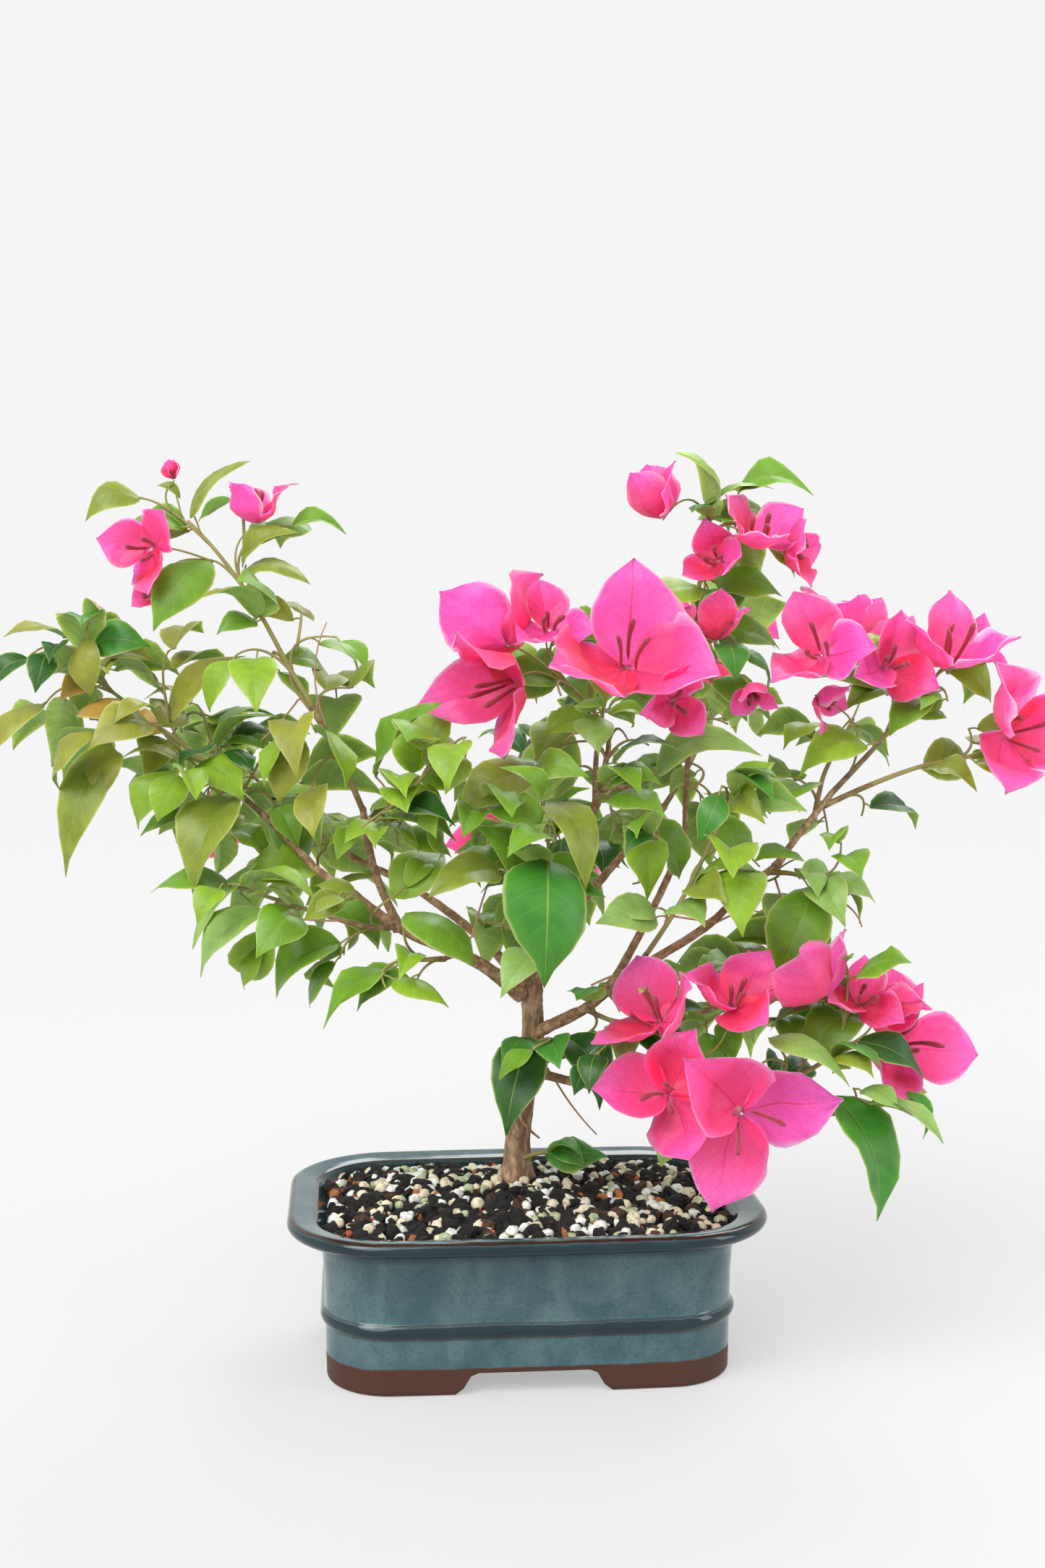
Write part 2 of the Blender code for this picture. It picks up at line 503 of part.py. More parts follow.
class Mass:
    """One mass of foliage: a stem, the twigs that branch from it, their leaves and its flower heads."""

    def __init__(self, name, room, stems):
        limb, reach, twigs, leaves, seed, points = MASSES[name]
        self.name = name
        self.room = room
        self.stems = stems
        self.reach = reach * MM
        self.counts = (twigs, leaves)
        self.dice = random.Random(seed)
        self.lines = [stems[name]]
        self.shapes = []
        self.ends = []

    def is_own(self, place):
        """Whether a place is within reach of this stem and nearer to it than to any other."""
        distances = {name: min((p - place).length for p in line) for name, line in self.stems.items()}
        return distances[self.name] < self.reach and min(distances, key=distances.get) == self.name

    def keep(self, shape):
        self.shapes.append(shape)
        self.room.add(self.name, *shape)

    def root_near(self, place):
        """The point of the twigs so far that a stalk to the place springs from, and its direction."""
        spots = [spot_on(line, share) for line in self.lines for share in ROOT_SHARES]
        return min(spots, key=lambda spot: (spot[0] + spot[1] * FORK_LEAD - place).length)

    def add_leaf(self, root, foot, tip, face, width):
        """Fuse a leaf on, if its blade is clear of everything and its stalk of what isn't its own."""
        if min(foot.z, tip.z) < GROUND_ROOM:
            return False
        whole = blade(root, foot, tip, face, width, ELBOW_ROOM)
        outer = blade(root, foot, tip, face, width, ELBOW_ROOM, petiole=False)
        if not self.room.is_clear(*whole, but=self.name) or not self.room.is_clear(*outer):
            return False
        self.keep(blade(root, foot, tip, face, width))
        return True

    def add_twig(self, root, ahead, end):
        """Fuse a twig on, if it is clear of what isn't its own. It returns its line, or None."""
        line = bent(root, ahead, end)
        test = twig(line, [TWIG_RADIUS + ELBOW_ROOM] * len(line))
        if not self.room.is_clear(*test, but=self.name):
            return None
        radii = [TWIG_RADIUS * (1 - TWIG_TAPER * i / (len(line) - 1)) for i in range(len(line))]
        self.keep(twig(line, radii))
        self.lines.append(line)
        self.ends.append(end)
        return line

    def leading_leaf(self, foot, tip, width):
        """A leaf at a given place, on a twig of its own where none is near, tilted until it is clear."""
        root, ahead = self.root_near(foot)
        if (foot - root).length > LONG_STALK:
            line = self.add_twig(root, ahead, foot)
            root = spot_on(line, 0.97)[0] if line else root
        outwards = 1 if tip.y > FRONT_DEPTH else -1
        for tilt in LEAF_TILTS:
            for share in SHORTER:
                face = Vector((0.1, tilt * outwards, 1))
                if self.add_leaf(root, foot, foot.lerp(tip, share), face, width * share):
                    return True
        return False

    def bloom(self, place, length, opening, turn, flare):
        """Three bracts round a stalk from the nearest twig, which runs on between them as a tube.

        The first bract stands above the opening, or in front of one that faces straight up, turned
        leftwards as seen from in front. Where one has no room, the head turns and shrinks a little.
        """
        opening = opening.normalized()
        line = bent(*self.root_near(place), place) + [place + opening * TUBE_LENGTH * length]
        if not self.room.is_clear(*twig(line, [TWIG_RADIUS + ELBOW_ROOM] * len(line)), but=self.name):
            return False
        upper = Vector((0, -1, 0)) if abs(opening.z) > STRAIGHT_UP else Vector((0, 0, 1))
        upper = (upper - opening * upper.dot(opening)).normalized()
        lean = math.radians(flare)
        for attempt in range(TRIES):
            bracts = []
            for k in range(3):
                angle = math.radians(turn + 120 * k)
                out = upper * math.cos(angle) + opening.cross(upper) * math.sin(angle)
                tip = place + (opening * math.cos(lean) + out * math.sin(lean)) * length
                foot = place + (opening * 2 + out).normalized() * BRACT_FOOT
                root = place + out * STALK_RADIUS * 0.7
                sizes = (root, foot, tip, opening - out, BRACT_WIDTH * length)
                whole = blade(*sizes, ELBOW_ROOM, stations=BRACT_STATIONS)
                outer = blade(*sizes, ELBOW_ROOM, petiole=False, stations=BRACT_STATIONS)
                if self.room.is_clear(*whole, but=self.name) and self.room.is_clear(*outer):
                    bracts.append(blade(*sizes, stations=BRACT_STATIONS))
            if len(bracts) == 3:
                break
            turn += self.dice.uniform(-SWING, SWING)
            length *= SHRINK
        self.keep(twig(line, [TWIG_RADIUS] * len(line)))
        for bract in bracts:
            self.keep(bract)
        return len(bracts) == 3

    def leafy(self, line, count):
        """Leaves by turns on either side of a twig, and one at its end."""
        side_first = self.dice.choice((-1, 1))
        for k in range(count):
            share = 1 - k * 0.7 / max(count, 1)
            at, ahead = spot_on(line, share - 0.03)
            flat = ahead.cross(Vector((0, 0, 1)))
            flat = flat.normalized() if flat.length > 0.05 else Vector((1, 0, 0))
            for attempt in range(TRIES):
                length = self.dice.uniform(*LEAF_LENGTHS) * MM * (0.85 if k == 0 else 1)
                spread = 0.25 if k == 0 else self.dice.uniform(0.7, 1.2)
                out = flat * spread * side_first * (-1) ** (k + attempt % 2)
                wander = Vector([self.dice.uniform(-0.35, 0.35) for _ in range(3)])
                drop = Vector((0, 0, self.dice.uniform(0.05, 0.6)))
                way = (ahead * 0.6 + out + wander - drop).normalized()
                foot = at + way * LEAF_FOOT * length
                tip = at + way * LEAF_TIP * length
                if not self.is_own(tip):
                    continue
                outwards = 1 if tip.y > FRONT_DEPTH else -1
                face = Vector((0.3 * way.x, 0.7 * outwards, 0.8)) + wander
                if self.add_leaf(at, foot, tip, face, length * self.dice.uniform(*LEAF_SLIMNESS)):
                    break

    def grow_marks(self):
        """Grow the leading leaves and the flower heads."""
        for name, foot, tip, width in LEADING_LEAVES:
            if name == self.name and not self.leading_leaf(mm(foot), mm(tip), width * MM):
                print(self.name, "has no room for the leaf at", foot)
        for name, place, length, opening, turn, flare in BLOOMS:
            if name == self.name and not self.bloom(mm(place), length * MM, Vector(opening), turn, flare):
                print(self.name, "has no room for all of the flower head at", place)

    def distance_from_ends(self, place):
        """How far a place is from the nearest end of a twig so far."""
        return min([(place - end).length for end in self.ends] or [1])

    def grow_twigs(self):
        """Grow twigs with their leaves where there is most room."""
        stem = self.stems[self.name]
        for _ in range(self.counts[0]):
            tries = []
            for _ in range(TRIES * 2):
                at = self.dice.choice(stem[len(stem) // 4:])
                way = Vector([self.dice.gauss(0, 1) for _ in range(3)]).normalized()
                end = at + way * self.reach * self.dice.uniform(*TWIG_REACH)
                if self.is_own(end) and end.z > GROUND_ROOM:
                    tries.append(end)
            for end in sorted(tries, key=self.distance_from_ends, reverse=True):
                root, ahead = self.root_near(end)
                line = self.add_twig(root, ahead, end)
                if line:
                    self.leafy(line, self.counts[1])
                    break
        self.leafy(stem, 2)


def make_pot():
    """Carry the wall's profile round the outline, and cut the low gaps between the feet through it."""
    pot = solid("pot", *loft([pot_ring(inset * MM, height * MM) for inset, height in POT_PROFILE]), "glaze")
    top, bottom = FOOT_GAP_TOP / 2, FOOT_GAP_BOTTOM / 2
    outline = [(-bottom, -MM), (bottom, -MM), (top, FOOT_HEIGHT), (-top, FOOT_HEIGHT)]
    through_front = [[Vector((x, y, z)) for x, z in outline] for y in (-POT_LENGTH, POT_LENGTH)]
    narrower = POT_WIDTH / POT_LENGTH
    through_side = [[Vector((p.y, -p.x * narrower, p.z)) for p in ring] for ring in through_front]
    cutters = [solid("gap", *loft(ends), "glaze") for ends in (through_front, through_side)]
    return combine(pot, cutters, "DIFFERENCE")


def broken_up(ring, longest):
    """The ring with more points wherever two neighbours are further apart than this."""
    finer = []
    for a, b in zip(ring, ring[1:] + ring[:1]):
        steps = math.ceil((b - a).length / longest)
        finer += [a.lerp(b, step / steps) for step in range(steps)]
    return finer


def make_soil():
    """Fill the pot inside its wall, and draw the top in over the lumpy mound to the trunk's flat place."""
    dice = random.Random(LUMP_SEED)
    rings = [pot_ring(inset * MM + CLEAR, height * MM + CLEAR) for inset, height in SOIL_INSETS]
    rings = [broken_up(ring, SOIL_STRAIGHT) for ring in rings]
    rim = rings[-1]
    crest = mm(TRUNK_PATH[0])
    for step in range(1, MOUND_STEPS + 1):
        share = step / MOUND_STEPS
        ring = []
        for place in rim:
            out = Vector((place.x - crest.x, place.y - crest.y, 0)).normalized()
            inner = Vector((crest.x, crest.y, 0)) + out * MOUND_RADIUS
            point = place.lerp(inner, share)
            point.z = SOIL_EDGE + (SOIL_CREST - SOIL_EDGE) * share ** MOUND_SLOPE
            if step < MOUND_STEPS:
                point.z += dice.uniform(*LUMPS) * MM
            ring.append(point)
        rings.append(ring)
    return solid("soil", *loft(rings), "soil")


def trunk_shape(extra=0.0):
    """The trunk as a ten-sided tube: its root flare is lobed and dies away upwards, and a stub tops it."""
    line = smooth_line([mm(p) for p in TRUNK_PATH], 3)
    radii = []
    for point, radius in zip(line, tapered(len(line), TRUNK_RADII)):
        height = point.z - line[0].z
        radii.append(radius + FLARE_RADIUS * math.exp(-height / FLARE_HEIGHT) + extra)
    rings = tube_rings(line, radii, 10)
    for ring, point in zip(rings, line):
        lobes = FLARE_RADIUS * LOBE_DEPTH * math.exp(-(point.z - line[0].z) / FLARE_HEIGHT)
        for k, place in enumerate(ring):
            out = (place - point).normalized()
            ring[k] = place + out * lobes * math.cos(FLARE_LOBES * 2 * math.pi * k / len(ring))
    for place in rings[0]:
        place.z = line[0].z
    stub = line[-1] + Vector((0, 0, STUB_HEIGHT + extra))
    rings.append([stub + (place - line[-1]) * STUB_SHARE for place in rings[-1]])
    return loft(rings)


def limb_shape(name, extra=0.0):
    """A bough or a mass's stem as a tube. Extra makes it fatter and a little longer, for a cutter."""
    if name == "trunk":
        return trunk_shape(extra)
    radii, points = BOUGHS[name][1:]
    line = smooth_line([mm(p) for p in points], 2)
    radii = [r + extra * 1.1 for r in tapered(len(line), radii)]
    if extra:
        line[-1] = line[-1] + (line[-1] - line[-2]).normalized() * extra
    return loft(tube_rings(line, radii, 6))


def cut_clear(piece, limbs):
    """Cut the piece back to a hair's breadth from each of the limbs that it springs from."""
    cutters = [solid("cutter", *limb_shape(name, CLEAR), "bark") for name in limbs]
    return combine(piece, cutters, "DIFFERENCE")


def stand_in_the_middle(pieces):
    """Move all the pieces so that the origin is on the table under the middle of the plant's box."""
    places = [v.co for piece in pieces for v in piece.data.vertices]
    low = Vector([min(place[k] for place in places) for k in range(3)])
    high = Vector([max(place[k] for place in places) for k in range(3)])
    middle = (low + high) / 2
    for place in places:
        place.x -= middle.x
        place.y -= middle.y
    for piece in pieces:
        piece.data.update()
    print("box in mm", [round(size / MM, 1) for size in high - low], "lowest", round(low.z / MM, 3))
    print("the pot's middle in mm", round(-middle.x / MM, 2), round(-middle.y / MM, 2))


def remove_everything():
    for old in list(bpy.data.objects):
        bpy.data.objects.remove(old)


def main():
    remove_everything()
    room = Room()
    for piece in (make_pot(), make_soil()):
        corners = [v.co.copy() for v in piece.data.vertices]
        room.add(piece.name, corners, [tuple(p.vertices) for p in piece.data.polygons])
    solid("trunk", *limb_shape("trunk"), "bark")
    room.add("trunk", *limb_shape("trunk"))
    for name, (springs_from, radii, points) in BOUGHS.items():
        cut_clear(solid(name, *limb_shape(name), "bark"), springs_from)
        room.add(name, *limb_shape(name))
    stems = {name: smooth_line([mm(p) for p in row[-1]], 2) for name, row in MASSES.items()}
    bodies = {}
    for name, row in MASSES.items():
        line = stems[name]
        shape = stem_shape(line)
        bodies[name] = cut_clear(solid(name, *shape, "foliage"), row[:1])
        room.add(name, *shape)
    masses = [Mass(name, room, stems) for name in MASSES]
    for mass in masses:
        mass.grow_marks()
    for mass in masses:
        mass.grow_twigs()
        pieces = [solid("shape", *shape, "foliage") for shape in mass.shapes]
        combine(bodies[mass.name], pieces, "UNION", "MANIFOLD")
    stand_in_the_middle(bpy.data.objects)


main()
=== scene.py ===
# %% [markdown]
# # A bougainvillea bonsai in a glazed pot
#
# This lesson dresses a small tree whose plain solids are already built. Those solids give every place
# and size: the pot, the soil, the trunk, the boughs and the masses of foliage. Here each of them gets
# the surface that the real thing has. The tree is grown again by the rule that made its solids, so the
# fine leaves sit where the plain ones do.

# %% Load the fixed frame
import math
import random

import bpy
import numpy as np
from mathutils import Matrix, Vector
from mathutils.bvhtree import BVHTree


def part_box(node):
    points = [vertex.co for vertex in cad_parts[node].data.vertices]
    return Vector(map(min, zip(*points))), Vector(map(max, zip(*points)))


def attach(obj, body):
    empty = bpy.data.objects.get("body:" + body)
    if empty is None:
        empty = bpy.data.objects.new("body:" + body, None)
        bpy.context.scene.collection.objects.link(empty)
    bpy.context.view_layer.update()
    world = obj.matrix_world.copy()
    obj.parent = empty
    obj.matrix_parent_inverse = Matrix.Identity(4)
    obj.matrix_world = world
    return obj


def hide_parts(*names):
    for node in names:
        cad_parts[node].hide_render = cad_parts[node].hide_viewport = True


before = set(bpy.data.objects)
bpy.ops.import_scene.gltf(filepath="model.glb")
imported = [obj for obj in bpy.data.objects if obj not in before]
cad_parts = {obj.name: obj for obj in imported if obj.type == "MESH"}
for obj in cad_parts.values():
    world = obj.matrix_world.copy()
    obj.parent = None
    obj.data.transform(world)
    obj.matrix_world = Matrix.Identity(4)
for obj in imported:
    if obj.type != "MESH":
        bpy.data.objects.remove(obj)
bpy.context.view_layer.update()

MM = 0.001
print("nodes:", len(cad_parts))

# %% [markdown]
# ## Where things are
#
# The tree's own places are written in millimetres, right, back and up from the middle of the pot's
# underside. The frame gives that middle, so a place in the tree becomes a place in the scene by adding it.

# %% The pot's middle
pot_low, pot_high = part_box("pot")
HERE = np.array([(pot_low.x + pot_high.x) / 2, (pot_low.y + pot_high.y) / 2, 0.0])
print("pot's middle in mm:", (HERE / MM).round(2))


def places(rows):
    """An array of places in metres from rows in millimetres, still in the tree's own frame."""
    return np.array(rows, float) * MM


# %% [markdown]
# ## Camera
#
# The picture was taken from a little above the rim, about 0.8 m away and slightly to the left, with the
# camera turned so that the pot's right end is further off. A 45 mm lens gives the upright frame.

# %% Camera
CAMERA_DISTANCE = 0.82
CAMERA_HEIGHT = 0.300
CAMERA_HEADING = math.radians(5)
CAMERA_DIP = math.radians(4.15)
LENS = 45
FILM_WIDTH = 36

camera = bpy.data.objects.new("camera", bpy.data.cameras.new("camera"))
bpy.context.scene.collection.objects.link(camera)
camera.data.lens = LENS
camera.data.sensor_width = FILM_WIDTH
camera.location = Vector(HERE) + Vector((-math.sin(CAMERA_HEADING) * CAMERA_DISTANCE,
                                         -math.cos(CAMERA_HEADING) * CAMERA_DISTANCE, CAMERA_HEIGHT))
camera.rotation_euler = (math.pi / 2 - CAMERA_DIP, 0, -CAMERA_HEADING)
bpy.context.scene.camera = camera
print("camera at", tuple(round(v, 3) for v in camera.location))

# %% [markdown]
# ## Surfaces from arrays
#
# Every new piece below is a grid of points worked out with numpy: a profile carried along a path or
# round an outline. A tube is a row of rings, and many tubes of one kind are worked out together. The
# quads only depend on how many rings and sides there are, so one helper numbers them for all, and
# another joins grids of tubes into one piece.


# %% Faces and pieces
def tube_faces(count, rows, around):
    """Quads round each of so many tubes, and one face to close either end, numbered tube after tube."""
    ring = np.arange(around)
    low = np.arange(rows - 1)[:, None] * around
    quads = np.stack([low + ring, low + (ring + 1) % around, low + (ring + 1) % around + around,
                      low + ring + around], -1).reshape(-1, 4)
    ends = np.stack([ring[::-1], (rows - 1) * around + ring])
    start = np.arange(count)[:, None, None] * rows * around
    return (quads + start).reshape(-1, 4), (ends + start).reshape(-1, around)


def joined(grids):
    """Points, lists of faces and the finish of each face, for one piece made of grids of tubes.

    A grid is so many tubes by rows by places round them. Its finish is one number, or one for each row.
    """
    points, faces, picks = [], [], []
    start = 0
    for grid, finish in grids:
        count, rows, around = grid.shape[:3]
        quads, ends = tube_faces(count, rows, around)
        bands = np.broadcast_to(finish, (count, rows - 1))
        points.append(grid.reshape(-1, 3))
        faces += [quads + start, ends + start]
        picks += [bands.repeat(around, -1).ravel(), bands[:, -1].repeat(2)]
        start += len(points[-1])
    return np.concatenate(points), faces, picks


def piece(name, shape, finishes, nodes=(), uv=None):
    """A smooth mesh from points, faces and their finishes, that rides on the one body."""
    points, faces, picks = shape
    mesh = bpy.data.meshes.new(name)
    rows = [row for group in faces for row in group.tolist()]
    mesh.from_pydata((points.reshape(-1, 3) + HERE).tolist(), [], rows)
    for finish in finishes:
        mesh.materials.append(finish)
    mesh.polygons.foreach_set("material_index", np.concatenate(picks).astype(np.int32))
    if uv is not None:
        layer = mesh.uv_layers.new(name="surface")
        corners = np.empty(len(mesh.loops), np.int32)
        mesh.loops.foreach_get("vertex_index", corners)
        layer.data.foreach_set("uv", uv.reshape(-1, 2)[corners].astype(np.float32).ravel())
    mesh.polygons.foreach_set("use_smooth", np.ones(len(mesh.polygons), bool))
    mesh.update()
    made = bpy.data.objects.new(name, mesh)
    bpy.context.scene.collection.objects.link(made)
    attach(made, "root")
    if nodes:
        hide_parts(*nodes)
    print(name, len(mesh.polygons), "faces")
    return made


# %% Shapes along lines
NEARLY_UPRIGHT = 0.9


def unit(vectors):
    """The same directions, one unit long."""
    return vectors / np.maximum(np.linalg.norm(vectors, axis=-1, keepdims=True), 1e-12)


def turns(around):
    """So many evenly spaced angles round a ring."""
    return 2 * np.pi * np.arange(around) / around


def tubes(lines, radii, around):
    """Rings round the points of many lines: centre + radius * (across * cos a + beside * sin a).

    Across is one sideways direction of the whole line, made square to the line at each point.
    """
    ahead = unit(np.gradient(lines, axis=-2))
    whole = lines[..., -1:, :] - lines[..., :1, :]
    upright = np.abs(unit(whole)[..., 2:]) > NEARLY_UPRIGHT
    across = np.cross(whole, np.where(upright, [1.0, 0, 0], [0, 0, 1.0]))
    across = unit(across - ahead * (across * ahead).sum(-1, keepdims=True))
    beside = np.cross(ahead, across)
    turn = turns(around)
    out = across[..., None, :] * np.cos(turn)[:, None] + beside[..., None, :] * np.sin(turn)[:, None]
    return lines[..., None, :] + out * radii[..., None]


def unevenness(points, size, seed, waves=14):
    """Smooth bumps of about this size, mostly between -1 and 1.

    The mean of sin(way . point + turn) over waves that cross in random ways, times 2.4.
    """
    dice = np.random.default_rng(seed)
    ways = unit(dice.normal(size=(waves, 3))) * dice.uniform(0.6, 1.7, (waves, 1)) * 2 * np.pi / size
    starts = dice.uniform(0, 2 * np.pi, waves)
    return np.sin(points @ ways.T + starts).mean(-1) * 2.4


def smooth_between(low, high, values):
    """0 below low, 1 above high, and an even S between them."""
    share = np.clip((values - low) / (high - low), 0, 1)
    return share * share * (3 - 2 * share)


# %% [markdown]
# ## Finishes
#
# A finish here is one Principled BSDF. Its colour comes from one or two noise patterns on the piece's
# own coordinates, mixed between named colours, and a Bump node gives the fine relief. One helper makes
# the nodes, so that each finish below is a few lines that say what differs.


# %% Finish helpers
class Finish:
    """A material with its Principled BSDF, and short names for the nodes that these finishes need."""

    def __init__(self, name, colour, roughness, **sockets):
        self.made = bpy.data.materials.new(name)
        self.made.use_nodes = True
        self.made.diffuse_color = (*colour, 1)
        self.tree = self.made.node_tree
        self.shader = self.tree.nodes["Principled BSDF"]
        self.shader.inputs["Base Color"].default_value = (*colour, 1)
        self.shader.inputs["Roughness"].default_value = roughness
        for socket, value in sockets.items():
            self.shader.inputs[socket.replace("_", " ")].default_value = value
        self.where = self.tree.nodes.new("ShaderNodeTexCoord")

    def put(self, value, socket):
        """Link a node's output to this socket, or set it to a number or colour. None leaves it alone."""
        if isinstance(value, bpy.types.NodeSocket):
            self.tree.links.new(value, socket)
        elif value is not None:
            socket.default_value = value

    def node(self, kind, inputs=(), **settings):
        """A node of this kind with its settings, and what goes into its sockets by place or name."""
        made = self.tree.nodes.new(kind)
        for key, value in settings.items():
            setattr(made, key, value)
        for place, value in dict(inputs).items():
            self.put(value, made.inputs[place])
        return made

    def place(self, scale=(1, 1, 1)):
        """The piece's own coordinates, stretched."""
        return self.node("ShaderNodeMapping", {0: self.where.outputs["Object"], 3: scale}).outputs[0]

    def noise(self, size, detail=3.0, place=None, distortion=0.0):
        """A noise pattern whose patches are about this size, in metres, from 0 to 1."""
        made = self.node("ShaderNodeTexNoise", {"Vector": place or self.place(), "Scale": 1 / size,
                                                "Detail": detail, "Distortion": distortion})
        return made.outputs["Fac"]

    def cells(self, size, place=None, feature="F1"):
        """The distance to the middle of a random cell of this size, or to its edge."""
        made = self.node("ShaderNodeTexVoronoi", {"Vector": place or self.place(), "Scale": 1 / size},
                         feature=feature)
        return made.outputs["Distance"]

    def maths(self, operation, a, b=None):
        """One sum on two numbers, or on one."""
        return self.node("ShaderNodeMath", {0: a, 1: b}, operation=operation).outputs[0]

    def between(self, value, low, high):
        """0 where the value is at low, 1 where it is at high, and an even S between."""
        return self.node("ShaderNodeMapRange", {"Value": value, "From Min": low, "From Max": high},
                         interpolation_type="SMOOTHSTEP").outputs[0]

    def mix(self, share, a, b, strength=1):
        """Colour a where the share is 0, and colour b, as far as the strength goes, where it is 1."""
        a, b = [(*c, 1) if isinstance(c, tuple) else c for c in (a, b)]
        share = share if strength == 1 else self.maths("MULTIPLY", share, strength)
        return self.node("ShaderNodeMix", {0: share, 6: a, 7: b}, data_type="RGBA").outputs[2]

    def across_and_along(self):
        """The two numbers of the piece's own UV: the way across or round it, and the way along it."""
        return self.node("ShaderNodeSeparateXYZ", {0: self.where.outputs["UV"]}).outputs[:2]

    def side_veins(self, count, slant):
        """Stripes that slant to the tip: sin(2 pi count (along - slant |across|))."""
        across, along = self.across_and_along()
        back = self.maths("MULTIPLY", self.maths("ABSOLUTE", across), slant)
        turn = self.maths("MULTIPLY", self.maths("SUBTRACT", along, back), 2 * math.pi * count)
        return self.maths("SINE", turn)

    def colour(self, value):
        """Link the shader's colour."""
        self.put(value, self.shader.inputs["Base Color"])

    def rough(self, share, low, high):
        """Roughness from low, where the share is 0, to high, where it is 1."""
        made = self.node("ShaderNodeMapRange", {"Value": share, "To Min": low, "To Max": high})
        self.put(made.outputs[0], self.shader.inputs["Roughness"])

    def bump(self, height, depth, strength=1.0):
        """Relief of this depth, in metres, from a height between 0 and 1."""
        made = self.node("ShaderNodeBump", {"Height": height, "Distance": depth, "Strength": strength})
        self.put(made.outputs[0], self.shader.inputs["Normal"])


def darker(colour, share):
    """The same colour with this share of its light."""
    return tuple(share * c for c in colour)


def mottled(name, colour, roughness, size, detail, one, other, **sockets):
    """A finish whose colour wanders between two in patches of about this size."""
    finish = Finish(name, colour, roughness, **sockets)
    finish.colour(finish.mix(finish.noise(size, detail), one, other))
    return finish.made


def srgb(red, green, blue):
    """Linear light from the 0 to 255 numbers of a screen colour."""
    parts = np.array([red, green, blue]) / 255
    light = np.where(parts <= 0.04045, parts / 12.92, ((parts + 0.055) / 1.055) ** 2.4)
    return tuple(float(v) for v in light)


# %% [markdown]
# ## The pot
#
# The pot is slip-cast stoneware: a rounded oblong with a rolled rim, a raised band round its belly and
# four low feet. One profile of its wall is carried round the outline, and both are worked out at fine
# steps. The glaze softens every edge, so each place of the profile is averaged with its neighbours.

# %% The pot's outline
POT_LENGTH = 198 * MM
POT_WIDTH = 140 * MM
RIM_CORNER = 42 * MM
LEAST_CORNER = 8 * MM
SIDE_BOW = 3 * MM
CORNER_STEPS = 18
LONG_STEPS = 36
SHORT_STEPS = 22


def outline_stations():
    """For each place round the outline: the signs of its corner's middle and the turn of its outward side.

    Along a corner the turn sweeps a quarter circle. Along a side the turn stands still while the middle
    slides to the next corner.
    """
    spans = []
    signs = ((1, 1), (-1, 1), (-1, -1), (1, -1))
    for quarter, (sign, after) in enumerate(zip(signs, signs[1:] + signs[:1])):
        turn = np.linspace(quarter, quarter + 1, CORNER_STEPS + 1)[:-1] * np.pi / 2
        spans.append(np.stack([np.full_like(turn, sign[0]), np.full_like(turn, sign[1]), turn]))
        steps = LONG_STEPS if quarter % 2 == 0 else SHORT_STEPS
        slide = np.linspace(0, 1, steps + 1)[:-1]
        spans.append(np.stack([sign[0] + (after[0] - sign[0]) * slide, sign[1] + (after[1] - sign[1]) * slide,
                               np.full_like(slide, (quarter + 1) * np.pi / 2)]))
    return np.concatenate(spans, axis=1)


def pot_rings(insets, heights):
    """Rings round the pot, one for each inset from the rim: corner middle + radius * outward side.

    The long sides bow out a little, most in their middle.
    """
    right, back, turn = outline_stations()
    radius = np.maximum(RIM_CORNER - insets, LEAST_CORNER)[:, None]
    x = right * (POT_LENGTH / 2 - insets[:, None] - radius) + radius * np.cos(turn)
    y = back * (POT_WIDTH / 2 - insets[:, None] - radius) + radius * np.sin(turn)
    bow = SIDE_BOW * (1 - (2 * x / POT_LENGTH) ** 2)
    y = y * (1 + bow / (POT_WIDTH / 2))
    return np.stack([x, y, np.broadcast_to(heights[:, None], x.shape)], -1)


# %% The pot's wall
POT_PROFILE = places((
    (30, 9), (30, 0), (17.2, 0), (16, 1.2), (15.8, 11), (15.6, 23.6),
    (14.2, 24.6), (13.4, 26.8), (14.2, 29), (15.4, 30), (15.2, 42), (14.4, 52), (12.4, 58.4), (8, 60),
    (3, 60.4), (0.8, 62), (0, 64), (0.8, 66), (3, 67), (8, 66.2), (12, 65.2), (13.2, 63.6),
    (19, 57), (21, 18), (24, 14),
))
PROFILE_STEP = 0.7 * MM
FOOT_HEIGHT = 9 * MM
FOOT_TOP = 11 * MM
GAP_HALF_TOP = 23.5 * MM
GAP_HALF_BOTTOM = 31 * MM

lengths = np.r_[0, np.cumsum(np.linalg.norm(np.diff(POT_PROFILE, axis=0), axis=1))]
way_along = np.linspace(0, lengths[-1], round(lengths[-1] / PROFILE_STEP) + 1)
profile = np.stack([np.interp(way_along, lengths, POT_PROFILE[:, k]) for k in (0, 1)], -1)
padded = np.concatenate([profile[:1], profile, profile[-1:]])
profile = (padded[:-2] + 2 * padded[1:-1] + padded[2:]) / 4
wall = pot_rings(profile[:, 0], profile[:, 1])

# Over each gap between the feet the lowest part of the wall is pressed together, up to the gap's top
long_side = np.abs(wall[..., 1]) / POT_WIDTH > np.abs(wall[..., 0]) / POT_LENGTH
offset = np.where(long_side, np.abs(wall[..., 0]), np.abs(wall[..., 1]) * POT_LENGTH / POT_WIDTH)
gap = FOOT_HEIGHT * (1 - smooth_between(GAP_HALF_TOP, GAP_HALF_BOTTOM, offset))
pressed = gap + wall[..., 2] * (FOOT_TOP - gap) / FOOT_TOP
wall[..., 2] = np.where(wall[..., 2] < FOOT_TOP, pressed, wall[..., 2])
print("profile", len(profile), "rows, outline", wall.shape[1], "stations")
